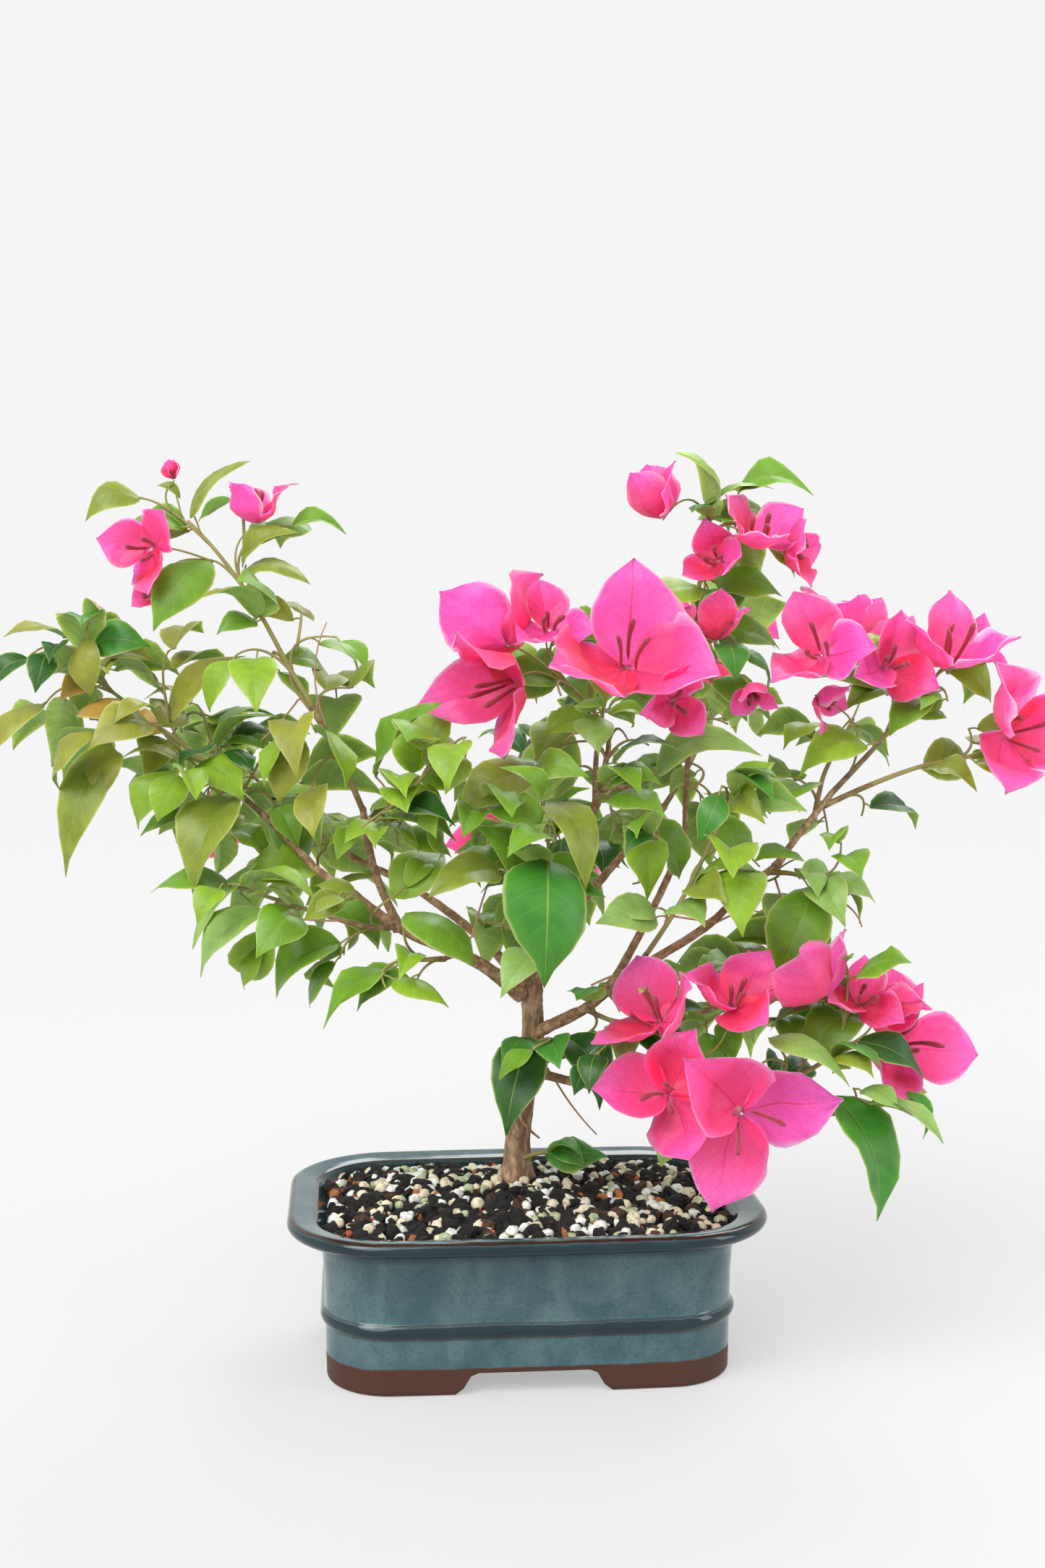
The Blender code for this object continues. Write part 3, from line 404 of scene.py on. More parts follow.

# %% [markdown]
# The glaze is a blue-green that pools dark on the rim's underside, on its front and on the band, and breaks
# to brown where it runs thin on the rim's two edges and on the band's. Just under the rim the wall is painted
# darker, as painted shade where the rolled rim shades it. The glaze stops above the foot, which is bare brown
# clay. The way along the profile, kept as the second number of the UV, tells these zones apart.

# %% Glaze
GLAZE_PALE = srgb(80, 106, 108)
GLAZE_MIDDLE = srgb(48, 78, 86)
# Dark glaze where it pools, and also the colour of the painted shade under the rim
GLAZE_DARK_AND_SHADE = srgb(3, 28, 36)
GLAZE_BREAK = srgb(46, 20, 12)
GLAZE_ROUGHNESS = 0.12
CLAY = srgb(72, 38, 24)
CLAY_ROUGHNESS = 0.75

# Zones along the profile in millimetres, each with its soft edge and its strength
# The pool from 80 to 88 mm, just under the rim, is painted shade where the rolled rim shades the wall
POOLS_AND_RIM_SHADE = ((46.8, 52.4, 0.5, 0.9), (80.0, 88.0, 2.5, 0.65), (88.0, 99.2, 1.0, 0.92), (112.5, 122.0, 1.0, 0.9))
THIN_PLACES = ((45.4, 46.4, 0.4, 0.7), (52.8, 53.6, 0.3, 0.6), (99.4, 101.4, 0.4, 0.95),
               (110.2, 112.0, 0.5, 0.7))
GLAZE_END = 33.6 * MM
END_SOFT = 0.5 * MM


def zones(finish, run, rows):
    """The strength of each row between its two places along the profile, with soft ends, and 0 elsewhere."""
    total = 0.0
    for low, high, soft, strength in rows:
        inside = finish.between(run, (low - soft) * MM, (low + soft) * MM)
        inside = finish.maths("MULTIPLY", inside, finish.between(run, (high + soft) * MM, (high - soft) * MM))
        total = finish.maths("MAXIMUM", total, finish.maths("MULTIPLY", inside, strength))
    return total


def make_glaze():
    """Glaze with pools, painted shade just under the rim, and thin places that wander a little, over the bare
    clay of the foot.
    """
    glaze = Finish("blue green glaze", GLAZE_MIDDLE, GLAZE_ROUGHNESS, Specular_IOR_Level=0.35,
                   Coat_Weight=0.15, Coat_Roughness=0.04)
    along = glaze.across_and_along()[1]
    wander = glaze.maths("MULTIPLY", glaze.maths("SUBTRACT", glaze.noise(9 * MM, 2), 0.5), 1.6 * MM)
    run = glaze.maths("ADD", along, wander)
    runs = glaze.noise(18 * MM, 5, glaze.place((1, 1, 0.7)), 0.6)
    body = glaze.mix(glaze.between(runs, 0.3, 0.75), GLAZE_MIDDLE, GLAZE_PALE)
    flecks = glaze.between(glaze.noise(1.2 * MM, 2), 0.45, 0.75)
    body = glaze.mix(flecks, body, GLAZE_DARK_AND_SHADE, 0.3)
    # Dark pools of glaze, with a band of painted shade just under the rim
    body = glaze.mix(zones(glaze, run, POOLS_AND_RIM_SHADE), body, GLAZE_DARK_AND_SHADE)
    body = glaze.mix(zones(glaze, run, THIN_PLACES), body, GLAZE_BREAK)
    foot = glaze.between(run, GLAZE_END + END_SOFT, GLAZE_END - END_SOFT)
    grain = glaze.noise(0.9 * MM, 4)
    glaze.colour(glaze.mix(foot, body, glaze.mix(grain, CLAY, darker(CLAY, 0.62))))
    glaze.rough(foot, GLAZE_ROUGHNESS, CLAY_ROUGHNESS)
    ripples = glaze.noise(16 * MM, 2)
    glaze.bump(glaze.node("ShaderNodeMix", {0: foot, 2: ripples, 3: grain}).outputs[0], 0.25 * MM, 0.5)
    return glaze.made


pot_uv = np.stack(np.broadcast_arrays(np.linspace(0, 1, wall.shape[1])[None], way_along[:, None]), -1)
piece("glazed_pot", joined([(wall[None], 0)]), [make_glaze()], nodes=("pot",), uv=pot_uv)

# %% [markdown]
# ## The soil
#
# The pot is filled with loose granules: black bark, rounded cream pumice, a few greenish ones and bits
# of fired clay. A lumpy dark bed closes the pot from wall to wall and rises a little to the trunk. On it
# lie about two thousand small closed shapes, each a sphere of a few faces that is stretched, dented and
# turned at random, and sunk by part of its height so that none of them floats.

# %% Soil bed
SOIL_INSET = 15.4 * MM
SOIL_EDGE = 61 * MM
SOIL_CREST = 68 * MM
SOIL_RISE = 1.6
CREST_PLACE = places((-1, 15))
BED_ROWS = 60
BED_REACH = 0.985
BED_LUMPS = 0.7 * MM
BED_SUNK = 0.8 * MM
SKIRT = 6 * MM


def on_the_soil(rim, share):
    """A place this share of the way in from the rim to the trunk: it rises slowly, then more steeply."""
    flat = rim * (1 - share) + CREST_PLACE * share
    height = SOIL_EDGE + (SOIL_CREST - SOIL_EDGE) * share ** SOIL_RISE
    return np.concatenate([flat, height], -1)


soil_rim = pot_rings(np.array([SOIL_INSET]), np.array([SOIL_EDGE]))[0]
way_in = np.linspace(0, BED_REACH, BED_ROWS)[:, None, None]
bed = on_the_soil(soil_rim[None, :, :2] + 0 * way_in, way_in + 0 * soil_rim[None, :, :1])
bed[..., 2] += BED_LUMPS * (unevenness(bed, 5 * MM, 1) + 0.6 * unevenness(bed, 2.5 * MM, 2)) - BED_SUNK
bed = np.concatenate([bed[:1] - [0, 0, SKIRT], bed])
print("soil bed", bed.shape)

# %% Granules
GRANULE_ROWS = 5
GRANULE_SIDES = 7
POLE = 0.28
DENT_SIZE = 1.5
DENTS_APART = 90
SCATTER = 0.3
GRANULE_REACH = 0.955


def turned(count, dice):
    """Random turns as matrices, from random unit quaternions."""
    w, x, y, z = unit(dice.normal(size=(count, 4))).T
    return np.stack([
        np.stack([1 - 2 * (y * y + z * z), 2 * (x * y - z * w), 2 * (x * z + y * w)], -1),
        np.stack([2 * (x * y + z * w), 1 - 2 * (x * x + z * z), 2 * (y * z - x * w)], -1),
        np.stack([2 * (x * z - y * w), 2 * (y * z + x * w), 1 - 2 * (x * x + y * y)], -1)], -2)


def granules(count, sizes, slimness, dents, lift, seed):
    """Closed lumps: a small sphere of rings, each point pushed in or out, then stretched and turned.

    Lift is how far a lump's middle stands over the bed, as a share of its radius.
    """
    dice = np.random.default_rng(seed)
    tilt = np.linspace(POLE, np.pi - POLE, GRANULE_ROWS)[:, None]
    turn = turns(GRANULE_SIDES)
    ball = np.stack([np.sin(tilt) * np.cos(turn), np.sin(tilt) * np.sin(turn),
                     -np.cos(tilt) + 0 * turn], -1)[None]
    apart = dice.uniform(0, DENTS_APART, (count, 1, 1, 3))
    lump = ball * (1 + dents * unevenness(ball + apart, DENT_SIZE, seed)[..., None])
    radius = dice.uniform(*sizes, count) * MM / 2
    stretch = dice.uniform(slimness, 1, (count, 3)) * radius[:, None]
    lump = np.einsum("nij,nrsj->nrsi", turned(count, dice), lump * stretch[:, None, None])
    rim = soil_rim[dice.integers(0, len(soil_rim), count), :2]
    inwards = 1 - np.sqrt(dice.uniform(0.0, GRANULE_REACH, (count, 1)))
    middle = on_the_soil(rim, inwards)
    middle[:, 2] += radius * (lift + dice.uniform(-SCATTER, SCATTER, count))
    return lump + middle[:, None, None]


# %% Soil: the colour of each kind, how many, sizes in millimetres, slimness, dents and lift
SOIL_KINDS = {
    "black bark": (srgb(24, 21, 20), 1400, (4.0, 11.0), 0.3, 0.34, 0.0),
    "brown bark": (srgb(74, 50, 36), 170, (4.0, 10.0), 0.25, 0.30, 0.1),
    "orange bark": (srgb(160, 100, 56), 50, (4.0, 8.0), 0.25, 0.25, 0.3),
    "cream pumice": (srgb(222, 210, 182), 190, (4.2, 7.2), 0.76, 0.15, 0.35),
    "white pumice": (srgb(228, 229, 222), 190, (4.0, 7.0), 0.76, 0.15, 0.35),
    "green pumice": (srgb(174, 184, 148), 80, (4.2, 6.8), 0.76, 0.15, 0.3),
    "fired clay": (srgb(184, 88, 50), 60, (2.6, 4.6), 0.5, 0.25, 0.5),
}
GRAIN = 2.4 * MM
SOIL_SEED = 20


def earthy(name, colour):
    """A dry, dusty grain: its own colour blotched darker, with small pits."""
    grain = Finish(name, colour, 0.95)
    grain.colour(grain.mix(grain.between(grain.noise(GRAIN, 3), 0.4, 0.75), colour, darker(colour, 0.5)))
    grain.bump(grain.noise(GRAIN / 3, 3), 0.25 * MM, 0.6)
    return grain.made


grids = [(bed[None], 0)]
for index, (colour, *shape) in enumerate(SOIL_KINDS.values()):
    grids.append((granules(*shape, SOIL_SEED + index), index))
soil_shape = joined(grids)
soil_finishes = [earthy(name, row[0]) for name, row in SOIL_KINDS.items()]
soil = piece("soil_granules", soil_shape, soil_finishes, nodes=("soil",))

# Chips of bark have flat faces, and the rest are rounded
chips = sum("bark" in name for name in SOIL_KINDS)
soil.data.polygons.foreach_set("use_smooth", np.concatenate(soil_shape[2]) >= chips)

# %% [markdown]
# ## How the tree is built
#
# Each bough has its radius at foot and tip, and its line. Each mass of foliage has how far its twigs
# reach, how many there are, the leaves on each, and its stem's line. The flower heads and the leaves
# that mark the crown's edge have places of their own, by mass. All of these are in millimetres.

# %% Trunk and boughs: radii and line
TRUNK_PATH = ((-1, 15, 68.3), (-1, 15, 80), (0, 14, 94), (2, 12, 110), (5, 10, 126), (5, 8, 142),
              (4, 6, 161))
TRUNK_RADII = (5.4, 4.4)
BOUGHS = {
    "bough_left": ((3.0, 2.0), ((0, 6, 151), (-15, -3, 163), (-25, -5, 169), (-41, -8, 176),
        (-57, -10, 184))),
    "bough_left_outer": ((1.9, 1.3), ((-55, -10, 183), (-71, -8, 196), (-85, -4, 205), (-97, 0, 217),
        (-109, 4, 229))),
    "bough_left_tall": ((1.9, 1.4), ((-52, -9, 181), (-60, -15, 200), (-64, -20, 214), (-67, -22, 233))),
    "bough_left_low": ((1.5, 1.0), ((-22, -5, 167), (-28, -14, 171), (-35, -26, 171))),
    "bough_centre": ((2.6, 1.8), ((5, 5, 156), (13, 0, 188), (23, -4, 219), (30, -7, 232),
        (32, -8, 244))),
    "bough_right_low": ((2.6, 2.0), ((6, 9, 133), (20, -6, 143), (28, -12, 149), (40, -16, 161))),
    "bough_right_arch": ((1.9, 1.5), ((39, -16, 160), (62, -20, 174), (77, -20, 184), (91, -18, 197),
        (106, -14, 207))),
    "bough_right_outer": ((1.5, 1.2), ((105, -14, 206), (115, -12, 219), (130, -10, 237))),
    "bough_right_upright": ((1.8, 1.4), ((36, -14, 157), (46, -7, 172), (52, -3, 182), (60, 1, 196),
        (70, 6, 216))),
    "bough_right_flower": ((2.0, 1.4), ((5, 11, 116), (22, -18, 117), (49, -40, 117), (88, -52, 120))),
    "bough_back_left": ((2.2, 1.4), ((5, 6, 146), (-12, 24, 168), (-42, 44, 190), (-72, 62, 204))),
    "bough_back_right": ((2.2, 1.4), ((4, 5, 151), (20, 26, 176), (46, 46, 202), (70, 58, 226))),
    "bough_back_middle": ((2.0, 1.4), ((4, 9, 132), (8, 36, 148), (14, 60, 168), (18, 76, 188))),
    "bough_back_low": ((1.9, 1.3), ((3, 11, 119), (34, 30, 122), (64, 38, 128), (92, 46, 136))),
}
print(len(BOUGHS), "boughs")

# %% Foliage masses: reach, twigs, leaves on each, stem
MASSES = {
    "foliage_left_top": (50, 6, 2, ((-67, -22, 232), (-73, -22, 246), (-84, -21, 268), (-97, -18, 291),
        (-110, -14, 315), (-125, -10, 336), (-137, -6, 349))),
    "foliage_left_arm": (50, 8, 3, ((-108, 4, 228), (-120, 8, 238), (-135, 12, 252), (-150, 15, 263),
        (-178, 20, 284))),
    "foliage_left_under": (42, 4, 2, ((-53, -10, 182), (-66, -20, 184), (-86, -20, 190),
        (-118, -14, 200))),
    "foliage_left_middle": (40, 4, 2, ((-65, -21, 226), (-58, -29, 232), (-48, -33, 240),
        (-40, -35, 250))),
    "foliage_left_low": (30, 2, 2, ((-34, -25, 171), (-42, -32, 172), (-54, -34, 172))),
    "foliage_centre_front": (42, 4, 2, ((4, 7, 152), (1, -14, 168), (0, -32, 194), (-2, -38, 220),
        (-8, -34, 242))),
    "foliage_centre_top": (44, 3, 2, ((32, -8, 243), (35, -10, 258), (28, -13, 272), (16, -16, 284))),
    "foliage_centre_right": (40, 4, 3, ((31, -8, 238), (42, -20, 240), (50, -27, 232), (54, -32, 214))),
    "foliage_right_top": (44, 5, 2, ((70, 6, 215), (71, 8, 240), (73, 10, 270), (75, 6, 320),
        (80, 0, 356))),
    "foliage_right_middle": (40, 5, 3, ((31, -13, 151), (44, -32, 168), (62, -40, 198), (82, -34, 236))),
    "foliage_right_arch": (44, 5, 2, ((129, -10, 236), (149, -7, 256), (168, -8, 278), (178, -10, 291))),
    "foliage_right_far": (36, 2, 2, ((126, -10, 231), (144, -15, 240), (166, -16, 248), (188, -15, 252))),
    "foliage_right_under": (36, 2, 2, ((102, -15, 204), (110, -20, 204), (118, -24, 202))),
    "foliage_right_low": (44, 4, 2, ((87, -52, 120), (104, -55, 126), (120, -56, 136), (126, -52, 152))),
    "foliage_right_hanging": (44, 2, 2, ((82, -50, 119), (100, -58, 112), (124, -58, 112),
        (148, -50, 114))),
    "foliage_centre_low": (40, 3, 2, ((25, -11, 147), (34, -27, 145), (46, -42, 146))),
    "foliage_front_low": (36, 2, 1, ((5, 10, 126), (4, -8, 132), (9, -18, 136))),
    "foliage_trunk_foot": (30, 0, 0, ((-1, 15, 76), (5, 5, 81), (10, -2, 84))),
    "foliage_back_left": (54, 4, 3, ((-71, 61, 204), (-88, 76, 214), (-104, 88, 226), (-118, 92, 240))),
    "foliage_back_right": (54, 4, 3, ((69, 58, 225), (84, 70, 246), (94, 78, 270), (97, 80, 296))),
    "foliage_back_middle": (52, 4, 3, ((18, 75, 187), (20, 88, 204), (18, 98, 222))),
    "foliage_back_top": (44, 3, 2, ((30, -6, 234), (33, 14, 252), (40, 40, 276), (44, 56, 292))),
    "foliage_back_low": (46, 4, 3, ((91, 46, 136), (108, 52, 142), (124, 52, 150))),
    "foliage_back_arch": (40, 3, 2, ((122, -11, 226), (132, 12, 244), (150, 34, 266))),
}
print(len(MASSES), "masses of foliage")

# %% Flower heads of each mass: place, length of the bracts, the way it opens, turn and flare in degrees
BLOOMS = {
    "foliage_left_top": (
        ((-109, -14, 347), 27, (0, 0, 1), 295, 32),
        ((-150, -18, 337), 23, (-0.5, -0.85, 0), 75, 60),
        ((-149, -6, 322), 24, (-0.7, -0.7, -0.3), 150, 45),
        ((-142, -8, 365), 9, (-0.3, 0, 1), 0, 15),
    ),
    "foliage_centre_top": (
        ((-9, -34, 298), 36, (-0.3, 0.5, 0.6), 50, 50),
        ((8, -30, 304), 34, (0, -0.8, 0.6), 350, 60),
        ((-5, -30, 284), 42, (-0.77, -0.57, -0.25), 100, 35),
        ((38, -44, 289), 45, (0, -0.75, 0.6), 355, 55),
        ((54, -54, 277), 25, (0.15, -1, -0.1), 0, 55),
    ),
    "foliage_right_top": (
        ((57, -12, 350), 25, (-0.3, -0.1, 1), 60, 25),
        ((82, -6, 333), 20, (-0.4, -0.7, 0.3), 20, 50),
        ((96, -14, 339), 28, (0.1, -0.5, 0.8), 20, 50),
        ((107, -10, 337), 21, (0.9, -0.4, 0.05), 40, 50),
        ((78, -20, 300), 29, (0, 0.3, 0.9), 120, 36),
        ((92, -24, 282), 22, (0, -0.5, -0.8), 100, 50),
    ),
    "foliage_right_arch": (
        ((121, -26, 294), 29, (-0.4, -0.7, 0.5), 25, 60),
        ((134, -4, 301), 28, (0.1, 0, 1), 0, 45),
        ((149, -22, 289), 25, (0.1, -0.9, 0.3), 350, 55),
        ((120, -18, 278), 18, (0.7, -0.4, -0.4), 30, 40),
        ((176, -16, 289), 36, (0.1, -0.4, 0.9), 100, 40),
        ((191, 6, 294), 20, (0.8, 0.3, 0.4), 20, 40),
    ),
    "foliage_right_far": (
        ((202, -16, 262), 36, (0.3, -0.7, 0.1), 30, 60),
    ),
    "foliage_centre_low": (
        ((50, -52, 148), 33, (-0.55, -0.35, 0.75), 152, 60),
        ((79, -58, 155), 36, (0, -0.6, 0.8), 0, 52),
        ((52, -66, 123), 34, (-0.4, -0.9, 0.2), 345, 65),
    ),
    "foliage_right_low": (
        ((79, -74, 117), 40, (0.1, -1, -0.2), 40, 72),
        ((114, -60, 158), 34, (-0.4, 0.3, 0.7), 60, 55),
        ((131, -52, 154), 39, (0.1, -0.6, 0.6), 55, 60),
        ((138, -50, 151), 23, (1, 0, 0.25), 0, 12),
        ((152, -34, 134), 34, (0.3, -0.7, 0.3), 14, 65),
    ),
    "foliage_back_left": (
        ((-130, 96, 212), 32, (-0.5, 0.8, 0.1), 0, 50),
        ((-98, 118, 206), 30, (0.1, 0.9, 0.3), 40, 50),
    ),
    "foliage_back_right": (
        ((84, 104, 300), 34, (-0.2, 0.8, 0.5), 0, 50),
        ((112, 98, 306), 34, (0.5, 0.7, 0.5), 20, 50),
        ((104, 116, 278), 32, (0.2, 1, 0.1), 40, 55),
    ),
    "foliage_back_middle": (
        ((-6, 114, 204), 34, (-0.3, 0.9, 0.3), 0, 50),
        ((34, 128, 190), 32, (0.3, 0.9, 0.1), 30, 55),
    ),
    "foliage_back_top": (
        ((48, 74, 300), 32, (0, 0.8, 0.5), 0, 50),
    ),
    "foliage_back_low": (
        ((132, 80, 158), 34, (0.4, 0.8, 0.4), 0, 50),
        ((110, 88, 148), 34, (-0.2, 0.9, 0.1), 30, 55),
    ),
    "foliage_back_arch": (
        ((160, 50, 288), 30, (0.3, 0.7, 0.6), 0, 50),
    ),
}
print(sum(len(rows) for rows in BLOOMS.values()), "flower heads")

# %% Leading leaves of each mass: where the blade's foot is, its tip, its width
LEADING_LEAVES = {
    "foliage_left_top": (
        ((-156, -6, 358), (-178, -10, 350), 14),
        ((-140, -6, 358), (-166, -4, 374), 13),
        ((-136, -8, 350), (-112, -12, 374), 16),
        ((-115, -12, 330), (-88, -22, 350), 16),
        ((-115, -12, 328), (-88, -24, 326), 18),
        ((-128, -12, 333), (-153, -30, 296), 27),
    ),
    "foliage_left_arm": (
        ((-199, 18, 274), (-226, 8, 250), 16),
        ((-172, 14, 258), (-190, 0, 204), 20),
        ((-120, 0, 236), (-139, -22, 196), 27),
        ((-147, 12, 268), (-116, 0, 296), 20),
        ((-127, 8, 256), (-103, -6, 272), 22),
    ),
    "foliage_left_under": (
        ((-110, -10, 210), (-138, -20, 177), 20),
        ((-106, -21, 191), (-134, -29, 168), 22),
    ),
    "foliage_left_middle": (
        ((-62, -28, 246), (-36, -40, 276), 22),
        ((-60, -28, 230), (-32, -46, 224), 20),
    ),
    "foliage_left_low": (
        ((-50, -38, 192), (-24, -54, 175), 27),
        ((-57, -32, 168), (-84, -46, 149), 18),
    ),
    "foliage_centre_front": (
        ((6, -46, 214), (-1, -70, 170), 36),
        ((3, -30, 248), (-30, -44, 230), 22),
        ((8, -36, 236), (22, -60, 206), 20),
        ((-12, -36, 208), (-42, -50, 202), 20),
    ),
    "foliage_centre_right": (
        ((40, -28, 226), (50, -44, 192), 22),
        ((52, -28, 246), (90, -40, 262), 22),
    ),
    "foliage_right_top": (
        ((76, 0, 357), (103, -8, 366), 17),
        ((62, -10, 308), (109, -36, 270), 28),
        ((75, 2, 322), (44, -14, 312), 20),
    ),
    "foliage_right_arch": (
        ((184, -8, 297), (219, -18, 278), 20),
    ),
    "foliage_right_under": (
        ((119, -27, 198), (102, -39, 163), 26),
        ((112, -23, 210), (92, -34, 212), 20),
    ),
    "foliage_trunk_foot": (
        ((12, -4, 85), (26, -10, 79), 10),
    ),
    "foliage_front_low": (
        ((3, -10, 135), (-12, -32, 100), 22),
        ((16, -20, 137), (34, -38, 108), 24),
    ),
    "foliage_right_hanging": (
        ((120, -62, 120), (136, -78, 74), 30),
        ((150, -50, 118), (183, -56, 70), 22),
    ),
    "foliage_right_low": (
        ((92, -64, 144), (122, -80, 130), 22),
        ((130, -54, 140), (163, -62, 122), 20),
    ),
    "foliage_centre_low": (
        ((62, -50, 112), (48, -60, 94), 18),
    ),
    "foliage_back_left": (
        ((-118, 100, 238), (-150, 134, 228), 24),
        ((-86, 96, 216), (-74, 140, 200), 24),
    ),
    "foliage_back_middle": (
        ((20, 112, 224), (14, 150, 204), 26),
    ),
    "foliage_back_right": (
        ((104, 96, 270), (122, 136, 254), 24),
    ),
}
print(sum(len(rows) for rows in LEADING_LEAVES.values()), "leading leaves")

# %% [markdown]
# ## Growing the crown
#
# The rule is the one that made the solids. A twig leaves along its parent and bends over to its end. A
# leaf grows from it where its blade crosses nothing that already stands there, and a flower head has
# three bracts round its stalk. Each trial shape is a plain body of a few points, tested against the
# others with a tree of their faces. The same seeds give the same crown.

# %% Sizes of leaves, bracts and twigs
CLEAR_OF_GROUND = 70 * MM
LEAF_LENGTHS = (22, 38)
LEAF_SLIMNESS = (0.52, 0.66)
LEAF_SAG = 0.09
LEAF_KEEL = 0.035
LEAF_STATIONS = ((0.24, 0.48), (0.62, 0.38))
LEAF_FOOT = 0.16
LEAF_TIP = 1.1
LEAF_TILTS = (0.5, 1.2, -0.3, 2.5)
LEANS_RIGHT = 0.1
BLADE_START = 0.08
SHORTER = (1, 0.85, 0.7)
STALK_RADIUS = 0.5 * MM

# Bracts: stations as for a leaf, their width and the tube's length, and how a head is set
BRACTS = 3
BRACT_STATIONS = ((0.3, 0.22), (0.62, 0.48))
BRACT_WIDTH = 0.86
BRACT_FOOT = 1 * MM
BRACT_ROOT = 0.7
TUBE_LENGTH = 0.5
STRAIGHT_UP = 0.95
SWING = 30
SHRINK = 0.95

# Twigs: where along a line they root, how they bend away from it and how far they reach
TWIG_RADIUS = 0.9 * MM
TWIG_TAPER = 0.4
STEM_RADII = (1.3, 0.9)
ROOT_SHARES = (0.15, 0.3, 0.45, 0.6, 0.75, 0.9)
TWIG_BEND = (0.3, 0.35)
TWIG_REACH = (0.25, 0.62)
FORK_LEAD = 8 * MM
LONG_STALK = 14 * MM
ELBOW_ROOM = 0.5 * MM
TRIES = 14
FRONT_DEPTH = 20 * MM
STEM_STEPS = 2
TWIG_CORNERS = 3
STEM_CORNERS = 4
BOUGH_CORNERS = 6

# The leaves of a twig: how far down it they go, how short of its end, and how they turn away from it
LEAVES_DOWN = 0.7
SHORT_OF_END = 0.03
END_LEAF = 0.85
END_SPREAD = 0.25
SIDE_SPREAD = (0.7, 1.2)
LEAF_WANDER = 0.35
LEAF_DROP = (0.05, 0.6)
LEAF_AHEAD = 0.6
LEAF_FACING = (0.3, 0.7, 0.8)
NEARLY_PLUMB = 0.05

# Seeds: each mass has the first one and its number, and the second one for its finer twigs
FIRST_SEED = 11
SECOND_SEED = 500
SPRAYS = 100


# %% Trial shapes
def mm(place):
    """A place or length in metres from one in millimetres."""
    return Vector(place) * MM


def loft(rings):
    """Vertices and faces of a closed body through rings of equal count, with a cap at each end."""
    count = len(rings[0])
    vertices = [point for ring in rings for point in ring]
    faces = [tuple(reversed(range(count)))]
    for k in range(len(rings) - 1):
        low, high = k * count, (k + 1) * count
        faces += [(low + i, low + (i + 1) % count, high + (i + 1) % count, high + i) for i in range(count)]
    faces.append(tuple(range((len(rings) - 1) * count, len(rings) * count)))
    return vertices, faces


def smooth_line(points, steps):
    """A Catmull-Rom curve through the points, with this many steps between each two."""
    points = [Vector(p) for p in points]
    ends = [points[0] * 2 - points[1], *points, points[-1] * 2 - points[-2]]
    line = []
    for a, b, c, d in zip(ends, ends[1:], ends[2:], ends[3:]):
        for step in range(steps):
            t = step / steps
            line.append(0.5 * (2 * b + (c - a) * t + (2 * a - 5 * b + 4 * c - d) * t * t
                               + (3 * b - a - 3 * c + d) * t ** 3))
    return line + [points[-1]]


def tube_rings(line, radii, sides):
    """Rings square to the line, one at each of its points, turned as little as possible."""
    rings = []
    across = None
    for i, point in enumerate(line):
        ahead = (line[min(i + 1, len(line) - 1)] - line[max(i - 1, 0)]).normalized()
        across = ahead.orthogonal() if across is None else across - ahead * across.dot(ahead)
        across.normalize()
        beside = ahead.cross(across)
        rings.append([point + (across * math.cos(turn) + beside * math.sin(turn)) * radii[i]
                      for turn in (2 * math.pi * k / sides for k in range(sides))])
    return rings


def tapered(count, radii):
    """Evenly falling radii, in metres from millimetres."""
    return [(radii[0] + (radii[1] - radii[0]) * i / (count - 1)) * MM for i in range(count)]


def blade(root, foot, tip, face, width, room=0.0, petiole=True, stations=LEAF_STATIONS):
    """A leaf or bract: a point for its root, two keeled stations and a point for its tip.

    The blade arches a little over the straight line from foot to tip. Room makes it fatter, for
    testing, and without its petiole it starts part of the way along.
    """
    along = tip - foot
    length = along.length
    side = along.cross(face).normalized()
    over = side.cross(along).normalized()
    if over.dot(face) < 0:
        over = -over
    keel = max(LEAF_KEEL * length, 2 * STALK_RADIUS) + room

    def station(share, half):
        middle = foot + along * share + over * LEAF_SAG * length * 4 * share * (1 - share)
        half = half * width + room
        return [middle - side * half + over * room, middle + side * half + over * room, middle - over * keel]

    start = root if petiole else foot + along * BLADE_START
    low, high = [station(share, half) for share, half in stations]
    return pointed([start, low, high, tip + along.normalized() * room])


def pointed(rings):
    """A closed body through rings of equal count, whose first and last members are single points."""
    vertices, faces = loft(rings[1:-1])
    for at, cap in ((rings[0], faces.pop(0)), (rings[-1], faces.pop())):
        faces += [(cap[i - 1], cap[i], len(vertices)) for i in range(len(cap))]
        vertices.append(at)
    return vertices, faces


def bent(root, ahead, end):
    """The line of a twig that leaves along its parent and bends over to its end."""
    onwards, across = TWIG_BEND
    return [root, root + ahead * (end - root).length * onwards + (end - root) * across, end]


def twig(line, radii):
    """A twig that starts as a point inside its parent and ends as one just past its last place."""
    end = line[-1] + (line[-1] - line[-2]).normalized() * TWIG_RADIUS
    return pointed([line[0], *tube_rings(line, radii, TWIG_CORNERS)[1:], end])


def stem_shape(line):
    """A mass's stem, which starts as a point well inside its limb."""
    start = line[0] - (line[1] - line[0]).normalized() * 2 * TWIG_RADIUS
    end = line[-1] + (line[-1] - line[-2]).normalized() * TWIG_RADIUS
    return pointed([start, *tube_rings(line, tapered(len(line), STEM_RADII), STEM_CORNERS), end])


def spot_on(line, share):
    """The place this share of the way along a line, and the line's direction there."""
    spans = [(b - a).length for a, b in zip(line, line[1:])]
    left = share * sum(spans)
    for a, b, span in zip(line, line[1:], spans):
        if left <= span or b is line[-1]:
            return a.lerp(b, left / span), (b - a).normalized()
        left -= span


